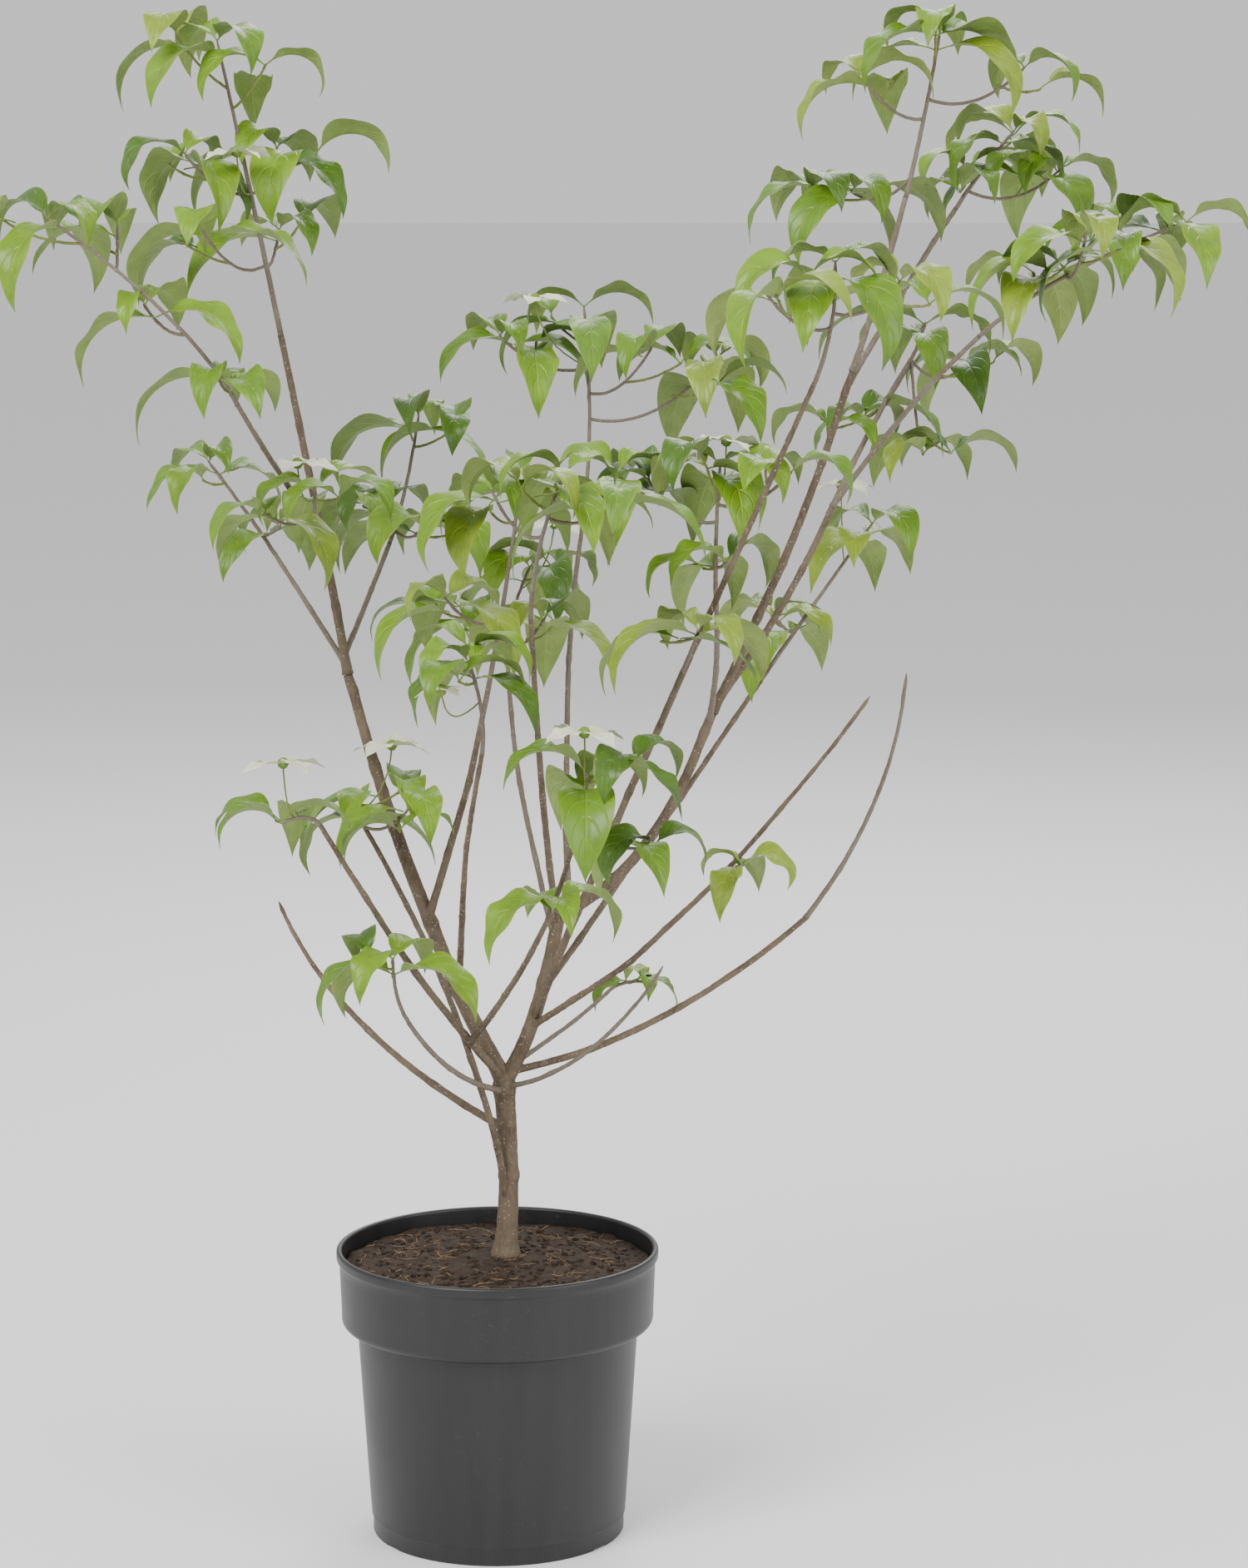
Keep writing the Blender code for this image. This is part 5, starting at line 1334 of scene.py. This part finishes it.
class DOGWOOD_OT_pot(bpy.types.Operator):
    """Turn the pot's wall, from its foot ring over its lip to its floor, and raise the drain notches."""

    bl_idname = "dogwood.pot"
    bl_label = "Pot"

    def execute(self, context):
        settings = context.scene.dogwood_pot
        foot = POT_HEIGHT - COLLAR_HEIGHT
        ring = RING_DIAMETER / 2.0
        body_foot = BODY_FOOT_DIAMETER / 2.0
        collar_top = COLLAR_TOP_DIAMETER / 2.0
        collar_foot = COLLAR_FOOT_DIAMETER / 2.0
        bead = LIP_HEIGHT * LIP_BEAD_SHARE
        lip = RIM_DIAMETER / 2.0 - bead
        lip_centre = (lip, POT_HEIGHT - bead)
        wall_inside = [
            [collar_top - WALL, POT_HEIGHT - LIP_SHARES[1] * LIP_HEIGHT],
            [collar_foot - WALL, foot + COLLAR_ROUND],
            [body_radius(foot) - WALL, foot + WALL],
            [body_radius(FLOOR_HEIGHT + WALL) - WALL, FLOOR_HEIGHT + WALL],
        ]
        side = np.linspace(BODY_START, foot - BODY_END_GAP, BODY_STEPS)
        collar_low = [collar_foot, foot + COLLAR_SIDE_START]
        collar_high = [collar_top, POT_HEIGHT - LIP_SHARES[0] * LIP_HEIGHT]
        under_collar = (body_radius(foot) + UNDER_COLLAR_ROUND, foot - UNDER_COLLAR_ROUND)
        profile = np.concatenate([
            [[ring - FOOT_WIDTH - FOOT_DRAFT, FLOOR_HEIGHT]],
            [[ring - FOOT_WIDTH, FOOT_INNER_RISE]],
            round_corner((ring - FOOT_ROUND, FOOT_ROUND), FOOT_ROUND, -90.0, 0.0, 5),
            [[ring, SEAM_HEIGHT - 2.0 * SEAM_STEP]],
            round_corner((body_foot - SEAM_ROUND, SEAM_HEIGHT), SEAM_ROUND, -60.0, 30.0, 4),
            np.stack([body_radius(side), side], -1),
            round_corner(under_collar, UNDER_COLLAR_ROUND, 180.0, 90.0, 4),
            round_corner((collar_foot - COLLAR_ROUND, foot + COLLAR_ROUND), COLLAR_ROUND, -90.0, 0.0, 9),
            np.linspace(collar_low, collar_high, COLLAR_STEPS),
            round_corner((lip, POT_HEIGHT - LIP_HEIGHT), bead, -60.0, 0.0, 4),
            round_corner(lip_centre, bead, 0.0, 180.0, 12),
            wall_inside,
        ])
        points, angle = turned_surface(profile, settings.spokes)
        points[..., 2] += self.notches(angle) * (1.0 - smooth_step(profile[:, 1], 0.0, NOTCH_BLEND))[:, None]
        surface = Surface()
        rows = len(profile)
        floor = np.array([[[0.0, 0.0, FLOOR_HEIGHT]], [[0.0, 0.0, FLOOR_HEIGHT + WALL]]])
        corners = np.concatenate([points.reshape(-1, 3), floor.reshape(-1, 3)])
        spokes = np.arange(settings.spokes)
        follow = (spokes + 1) % settings.spokes
        under = np.stack([np.full(len(spokes), rows * len(spokes)), follow, spokes], axis=-1)
        last = (rows - 1) * len(spokes)
        middle = np.full(len(spokes), rows * len(spokes) + 1)
        inside = np.stack([last + spokes, last + follow, middle], axis=-1)
        surface.add(world(corners), [grid_faces(rows, len(spokes)), under, inside])
        keep(surface.finish("nursery_pot", [pot_finish(settings.colour)], POT_SHARP), ["pot"])
        return {"FINISHED"}

    def notches(self, angle):
        """How far the foot is raised at each angle: the notch height in each notch, with short ramps."""
        half = NOTCH_WIDTH / RING_DIAMETER
        raised = np.zeros(len(angle))
        for middle in NOTCH_ANGLES:
            away = np.abs((angle - math.radians(middle) + math.pi) % math.tau - math.pi)
            raised = np.maximum(raised, NOTCH_HEIGHT * (1.0 - smooth_step(away, 0.72 * half, 1.1 * half)))
        return raised


class DOGWOOD_OT_soil(bpy.types.Operator):
    """Mound the peat in the pot: a disc of lumps by noise, with crumbs and shreds on it."""

    bl_idname = "dogwood.soil"
    bl_label = "Soil"

    def height(self, flat, relief):
        """The mound's height at (x, y): level under the trunk, lower at the wall, and lumpy."""
        edge = COLLAR_TOP_DIAMETER / 2.0 - WALL
        away = np.linalg.norm(flat, axis=-1)
        drop = (SOIL_TOP_HEIGHT - SOIL_EDGE_HEIGHT) * smooth_step(away, SOIL_LEVEL_RADIUS, edge)
        solid = np.concatenate([flat, 0.0 * flat[..., :1]], axis=-1)
        lumps = sum(weight * ripple(solid, size, seed) for weight, size, seed in SOIL_LUMPS)
        return SOIL_TOP_HEIGHT - drop + relief * lumps

    def execute(self, context):
        settings = context.scene.dogwood_soil
        dice = np.random.default_rng(SEED)
        peat = soil_finish(settings.colour)
        fibre = fibre_finish(settings.fibre_colour)
        edge = COLLAR_TOP_DIAMETER / 2.0 - WALL - SOIL_GAP - SOIL_EDGE_GAP
        angle = np.linspace(0.0, math.tau, SOIL_SPOKES, endpoint=False)
        away = edge * np.linspace(1.0, SOIL_INNERMOST, SOIL_RINGS)
        flat = away[:, None, None] * np.stack([np.cos(angle), np.sin(angle)], axis=-1)
        top = np.concatenate([flat, self.height(flat, settings.relief)[..., None]], axis=-1)
        low = top[0].copy()
        low[:, :2] *= (body_radius(FLOOR_HEIGHT + WALL) - WALL - SOIL_GAP) / edge
        low[:, 2] = FLOOR_HEIGHT + WALL + SOIL_GAP
        waist = top[0].copy()
        waist[:, :2] *= (body_radius(POT_HEIGHT - COLLAR_HEIGHT) - WALL - SOIL_GAP) / edge
        waist[:, 2] = POT_HEIGHT - COLLAR_HEIGHT
        rows = np.concatenate([low[None], waist[None], top])
        surface = Surface()
        surface.add(world(rows), tube_faces(len(rows), SOIL_SPOKES))
        self.add_crumbs(surface, dice, settings, edge)
        keep(surface.finish("peat", [peat]), ["soil"])
        shreds = Surface()
        self.add_shreds(shreds, dice, settings, edge)
        keep(shreds.finish("peat_shreds", [fibre]))
        return {"FINISHED"}

    def scatter(self, dice, count, edge):
        """Places spread evenly over the disc, clear of the trunk."""
        away = np.sqrt(dice.uniform(*SCATTER_AREA, count)) * edge
        angle = dice.uniform(0.0, math.tau, count)
        return away[:, None] * np.stack([np.cos(angle), np.sin(angle)], axis=-1)

    def add_crumbs(self, surface, dice, settings, edge):
        """Lumps: six-sided double cones with uneven corners, half sunk in the peat."""
        flat = self.scatter(dice, CRUMBS, edge)
        centre = np.concatenate([flat, self.height(flat, settings.relief)[:, None]], axis=-1)
        angle = np.linspace(0.0, math.tau, CRUMB_SIDES, endpoint=False)
        circle = np.stack([np.cos(angle), np.sin(angle), np.ones(CRUMB_SIDES)], axis=-1)
        shape = np.concatenate([circle * (share, share, level) for level, share in CRUMB_RINGS])
        size = dice.uniform(*CRUMB_SIZE, (CRUMBS, 1, 1))
        size = size * dice.uniform(*CRUMB_UNEVENNESS, (CRUMBS, len(shape), 1))
        points = centre[:, None] + shape * size
        faces = tube_faces(len(CRUMB_RINGS), CRUMB_SIDES)
        starts = (np.arange(CRUMBS) * len(shape))[:, None, None]
        faces = [(block + starts).reshape(-1, block.shape[1]) for block in faces]
        surface.add(world(points), faces)

    def add_shreds(self, surface, dice, settings, edge):
        """Shreds: thin four-sided tubes that lie on the peat along short bent lines."""
        flat = self.scatter(dice, FIBRES, edge * FIBRE_EDGE)
        for start in flat:
            heading = dice.uniform(0.0, math.tau)
            heading = heading + np.cumsum(dice.uniform(-FIBRE_BEND, FIBRE_BEND, len(FIBRE_TAPER)))
            step = dice.uniform(*FIBRE_STEP)
            line = start + step * np.cumsum(np.stack([np.cos(heading), np.sin(heading)], axis=-1), axis=0)
            if np.linalg.norm(line, axis=-1).max() > edge:
                continue
            height = self.height(line, settings.relief) + dice.uniform(0.0, FIBRE_LIFT)
            line = np.concatenate([line, height[:, None]], axis=-1)
            radius = dice.uniform(*FIBRE_RADIUS)
            points, _ = tube_grid(line, radius * np.array(FIBRE_TAPER), FIBRE_SIDES)
            surface.add(world(points), tube_faces(len(line), FIBRE_SIDES))


class DOGWOOD_OT_boughs(bpy.types.Operator):
    """Carry round rings along the trunk and each limb, swollen at joints and feet and rough with bark."""

    bl_idname = "dogwood.boughs"
    bl_label = "Trunk and boughs"

    def joints(self, dice, length):
        """Places of a limb's joints, by their distance from its foot."""
        found = []
        reach = dice.uniform(*BOUGH_NODE_SPACING)
        while reach < length - LAST_JOINT:
            found.append(reach)
            reach += dice.uniform(*BOUGH_NODE_SPACING)
        return found

    def add_limb(self, surface, line, radii, dice, settings, finish, collar, bare_tip):
        """One limb: its line bends a little at each joint, and its radius swells there and at its foot."""
        reach = np.concatenate([[0.0], np.cumsum(np.linalg.norm(np.diff(line, axis=0), axis=-1))])
        length = reach[-1]
        joints = self.joints(dice, length)
        stops = np.concatenate([[0.0], joints, [length]])
        offsets = dice.uniform(-BOUGH_ZIGZAG, BOUGH_ZIGZAG, (len(stops), 3))
        offsets[0] = 0.0
        offsets[-1] = 0.0
        wander = np.stack([np.interp(reach, stops, offsets[:, axis]) for axis in range(3)], axis=-1)
        line = line + wander
        swell = np.ones(len(reach))
        for joint in joints:
            swell += BOUGH_NODE_SWELL * np.exp(-(((reach - joint) / JOINT_LENGTH) ** 2))
        swell += collar * np.exp(-reach / COLLAR_REACH)
        if bare_tip:
            full = np.sqrt(np.clip((length - reach) / TIP_TAPER, 0.0, 1.0))
            swell *= TIP_END_SHARE + (1.0 - TIP_END_SHARE) * full
        points, outward = tube_grid(line, radii * swell, BOUGH_COLUMNS)
        seed = int(dice.integers(1000))
        bark = BARK_LUMPS[0] * ripple(points, BARK_LUMPS[1], seed)
        bark = bark + BARK_RIDGES[0] * ripple(points * BARK_STRETCH, BARK_RIDGES[1], seed + 1)
        points = points + outward * (settings.relief * bark)[..., None]
        surface.add(world(points), tube_faces(len(line), BOUGH_COLUMNS), finish)

    def execute(self, context):
        settings = context.scene.dogwood_bark
        dice = np.random.default_rng(SEED + 1)
        old = bark_finish("old_bark", settings.dark, settings.light, settings.fleck, 1.0)
        young = bark_finish("young_bark", scaled(settings.light, 0.9), settings.twig, settings.fleck, 0.5)
        lines, _ = limb_lines()
        trunk = Surface()
        foot, middle, fork = lines["trunk"]
        line = bow_line(foot, middle, fork, TRUNK_STEPS)
        line[0, 2] -= TRUNK_SINK
        shares, diameters = zip(*TRUNK_PROFILE)
        radii = np.interp(np.linspace(0.0, 1.0, TRUNK_STEPS + 1), shares, diameters) / 2.0
        line = np.concatenate([line, [line[-1] + (0.0, 0.0, rise) for rise, _ in TRUNK_END]])
        radii = np.concatenate([radii, [radii[-1] * share for _, share in TRUNK_END]])
        self.add_limb(trunk, line, radii, dice, settings, 0, TRUNK_COLLAR, False)
        keep(trunk.finish("trunk_bark", [old]), ["trunk"])
        boughs = Surface()
        for name, _, _, _, _, thick, thin in LIMBS:
            start, via, tip = lines[name]
            length = (via - start).length + (tip - via).length
            steps = max(8, round(length / BOUGH_STEP))
            line = bow_line(start, via, tip, steps)
            radii = MILLIMETRE * np.linspace(thick, thin, steps + 1) / 2.0
            bare = name in BARE_LIMBS
            self.add_limb(boughs, line, radii, dice, settings, int(thick < YOUNG_LIMB), COLLAR_SWELL, bare)
        names = [row[0] for row in LIMBS]
        keep(boughs.finish("boughs_bark", [old, young]), names)
        return {"FINISHED"}


class DOGWOOD_OT_twigs(bpy.types.Operator):
    """Carry thin rings along every twig, shoot and flower stalk, swollen where leaves leave it."""

    bl_idname = "dogwood.twigs"
    bl_label = "Twigs"

    def execute(self, context):
        settings = context.scene.dogwood_bark
        dice = np.random.default_rng(SEED + 2)
        twig = bark_finish("twig_bark", scaled(settings.light, 0.95), settings.twig, settings.fleck, 0.4)
        shoot = bark_finish("shoot_bark", scaled(settings.shoot, 0.75), settings.shoot, settings.twig, 0.2)
        surface = Surface()
        for mass in CROWN.values():
            for start, via, tip, thick, thin, pairs, kind in mass.twigs:
                line = bow_line(start, via, tip, TWIG_STEPS)
                length = np.linalg.norm(np.diff(line, axis=0), axis=-1).sum()
                left = length * np.linspace(1.0, 0.0, TWIG_STEPS + 1)
                radii = np.linspace(thick, thin, TWIG_STEPS + 1) / 2.0
                for pair in range(pairs):
                    place = TIP_SETBACK + PAIR_SPACING * pair
                    radii = radii * (1.0 + NODE_SWELL * np.exp(-(((left - place) / NODE_LENGTH) ** 2)))
                radii[-1] *= TWIG_END_SHARE
                line = line + dice.uniform(-TWIG_UNEVENNESS, TWIG_UNEVENNESS, line.shape)
                points, _ = tube_grid(line, radii, TWIG_COLUMNS)
                surface.add(world(points), tube_faces(len(line), TWIG_COLUMNS), min(kind, 1))
        keep(surface.finish("twigs", [twig, shoot]))
        return {"FINISHED"}


class DOGWOOD_OT_leaves(bpy.types.Operator):
    """Carry each leaf's folded cross-section down its arching midrib, for a part of the crown at a time."""

    bl_idname = "dogwood.leaves"
    bl_label = "Leaves"

    def execute(self, context):
        settings = context.scene.dogwood_leaf
        tops = (settings.bright, settings.middle, settings.deep, settings.yellow, settings.fresh)
        names = ("bright", "middle", "deep", "yellow", "fresh")
        finishes = []
        for name, colour in zip(names, tops):
            finishes.append(leaf_top_finish(f"leaf_{name}", colour, LEAF_SHEEN))
            parts = zip(settings.underside, colour)
            blend = [UNDER_SHARE * under + (1.0 - UNDER_SHARE) * top for under, top in parts]
            finishes.append(leaf_under_finish(f"leaf_{name}_under", blend))
        for part, masses in CROWN_PARTS.items():
            dice = np.random.default_rng(SEED + 10 + len(part))
            surface = Surface()
            for name in masses:
                rows = np.array(CROWN[name].leaves)
                rows[:, :3] += POT_AXIS
                sprays = rows[:, 8].astype(int)
                dealt = dice.choice(len(tops), size=sprays.max() + 1, p=LEAF_TINT_WEIGHTS)
                own = dice.choice(len(tops), size=len(rows), p=LEAF_TINT_WEIGHTS)
                tints = np.where(dice.random(len(rows)) < OWN_TINT_SHARE, own, dealt[sprays])
                add_blades(surface, rows, tints, dice, BLADE_FOLD, WAVE_HEIGHT, QUILT_HEIGHT)
            keep(surface.finish(f"{part}_leaves", finishes, BLADE_SHARP), masses)
        return {"FINISHED"}


class DOGWOOD_OT_flowers(bpy.types.Operator):
    """Carry each bract's cross-section along its midrib, and set a knobbly button in the middle."""

    bl_idname = "dogwood.flowers"
    bl_label = "Flowers"

    def execute(self, context):
        settings = context.scene.dogwood_flower
        dice = np.random.default_rng(SEED + 3)
        above = bract_finish("bract", settings.bract, settings.bract_green)
        # Painted shade: the bracts' undersides take the bract's cream darkened to 0.86 of it
        beneath = bract_finish("bract_under", scaled(settings.bract, 0.86), settings.bract_green)
        bracts = Surface()
        rows = np.array([row for mass in CROWN.values() for row in mass.bracts])
        rows[:, :3] += POT_AXIS
        tints = np.zeros(len(rows), int)
        add_blades(bracts, rows, tints, dice, BRACT_FOLD, BRACT_WAVE_HEIGHT, BRACT_QUILT_HEIGHT)
        keep(bracts.finish("bracts", [above, beneath], BLADE_SHARP))
        buttons = Surface()
        centres = np.array([centre for mass in CROWN.values() for centre in mass.buttons])
        rings, columns = BUTTON_GRID
        height, round_knobs, down_knobs = BUTTON_KNOBS
        tilt = np.linspace(-BUTTON_TILT, BUTTON_TILT, rings) * math.pi
        turn = np.linspace(0.0, math.tau, columns, endpoint=False)
        knobs = 1.0 + height * np.cos(round_knobs * turn) * np.cos(down_knobs * tilt)[:, None]
        radius = 0.5 * BUTTON_DIAMETER * knobs
        ball = np.stack([
            radius * np.cos(tilt)[:, None] * np.cos(turn),
            radius * np.cos(tilt)[:, None] * np.sin(turn),
            radius * np.sin(tilt)[:, None] * np.ones(columns),
        ], axis=-1)
        for centre in centres:
            buttons.add(world(ball + centre), tube_faces(rings, columns))
        keep(buttons.finish("flower_buttons", [button_finish(settings.button)]))
        return {"FINISHED"}


class DOGWOOD_OT_stage(bpy.types.Operator):
    """Lay a wide pale floor, set soft lights round the plant and stand the camera in front of it."""

    bl_idname = "dogwood.stage"
    bl_label = "Stage"

    def lamp(self, name, place, aim, size, power):
        """A square soft light at a place, turned to face a point."""
        data = bpy.data.lights.new(name, "AREA")
        data.shape = "SQUARE"
        data.size = size
        data.energy = power
        made = bpy.data.objects.new(name, data)
        made.location = place
        made.rotation_mode = "QUATERNION"
        made.rotation_quaternion = (Vector(aim) - Vector(place)).to_track_quat("-Z", "Y")
        bpy.context.scene.collection.objects.link(made)

    def execute(self, context):
        settings = context.scene.dogwood_stage
        surface = Surface()
        corners = FLOOR_REACH * np.array([[-1, -1, 0], [1, -1, 0], [1, 1, 0], [-1, 1, 0]])
        surface.add(corners, [[[0, 1, 2, 3]]])
        floor = surface.finish("floor", [floor_finish(settings.floor)])
        for name, place, size, power in LAMPS:
            self.lamp(name, place, LIGHT_AIM, size, getattr(settings, power))
        sky = bpy.data.worlds.new("surround")
        sky.use_nodes = True
        sky.node_tree.nodes["Background"].inputs["Color"].default_value = (1.0, 1.0, 1.0, 1.0)
        sky.node_tree.nodes["Background"].inputs["Strength"].default_value = settings.sky
        context.scene.world = sky
        lens = bpy.data.cameras.new("camera")
        lens.lens = settings.lens
        lens.sensor_width = SENSOR_WIDTH
        lens.clip_end = CLIP_END
        camera = bpy.data.objects.new("camera", lens)
        camera.location = (POT_AXIS[0] + settings.aside, POT_AXIS[1] - settings.distance, settings.height)
        camera.rotation_euler = (math.pi / 2.0 - settings.tilt, 0.0, 0.0)
        context.scene.collection.objects.link(camera)
        context.scene.camera = camera
        return {"FINISHED"}


class DOGWOOD_PT_sidebar(bpy.types.Panel):
    """Lists the pieces and their settings."""

    bl_idname = "DOGWOOD_PT_sidebar"
    bl_label = "Potted dogwood"
    bl_space_type = "VIEW_3D"
    bl_region_type = "UI"
    bl_category = "Dogwood"

    def draw(self, context):
        for operator, group in OPERATORS:
            box = self.layout.box()
            box.operator(operator.bl_idname)
            settings = getattr(context.scene, group)
            for name in settings.__annotations__:
                box.prop(settings, name)


# The operators in their order, each with the settings that it reads
OPERATORS = (
    (DOGWOOD_OT_pot, "dogwood_pot"),
    (DOGWOOD_OT_soil, "dogwood_soil"),
    (DOGWOOD_OT_boughs, "dogwood_bark"),
    (DOGWOOD_OT_twigs, "dogwood_bark"),
    (DOGWOOD_OT_leaves, "dogwood_leaf"),
    (DOGWOOD_OT_flowers, "dogwood_flower"),
    (DOGWOOD_OT_stage, "dogwood_stage"),
)
GROUPS = {
    "dogwood_pot": PotSettings,
    "dogwood_soil": SoilSettings,
    "dogwood_bark": BarkSettings,
    "dogwood_leaf": LeafSettings,
    "dogwood_flower": FlowerSettings,
    "dogwood_stage": StageSettings,
}

BARE_LIMBS = ("bare_left_bough", "budded_bough", "lowest_right_tip", "low_front_right_bough")
# The parts of the crown whose leaves are one piece each
CROWN_PARTS = {
    "left": (
        "left_top_foliage", "far_left_foliage", "left_low_foliage", "left_back_foliage",
        "left_spur_foliage",
    ),
    "middle": (
        "inner_foliage", "middle_foliage", "front_foliage", "centre_back_foliage",
        "centre_right_foliage", "back_foliage",
    ),
    "right": (
        "top_foliage", "top_right_foliage", "far_right_foliage", "back_right_foliage",
        "front_right_foliage",
    ),
    "lower": (
        "low_left_foliage", "basal_shoot_foliage", "lowest_left_foliage", "low_front_foliage",
        "low_front_spur_foliage", "right_spur_foliage", "right_back_foliage",
        "low_right_spur_foliage", "low_back_foliage",
    ),
}
CROWN = grow_crown()


def register():
    """Register the settings, the operators and the panel."""
    for name, group in GROUPS.items():
        bpy.utils.register_class(group)
        setattr(bpy.types.Scene, name, PointerProperty(type=group))
    for operator, _ in OPERATORS:
        bpy.utils.register_class(operator)
    bpy.utils.register_class(DOGWOOD_PT_sidebar)


def unregister():
    """Take the panel, the operators and the settings away again."""
    bpy.utils.unregister_class(DOGWOOD_PT_sidebar)
    for operator, _ in reversed(OPERATORS):
        bpy.utils.unregister_class(operator)
    for name, group in reversed(list(GROUPS.items())):
        delattr(bpy.types.Scene, name)
        bpy.utils.unregister_class(group)


def main():
    """Register the add-on and make every piece in order."""
    register()
    for operator, _ in OPERATORS:
        group, name = operator.bl_idname.split(".")
        getattr(getattr(bpy.ops, group), name)()


if __name__ == "__main__":
    main()
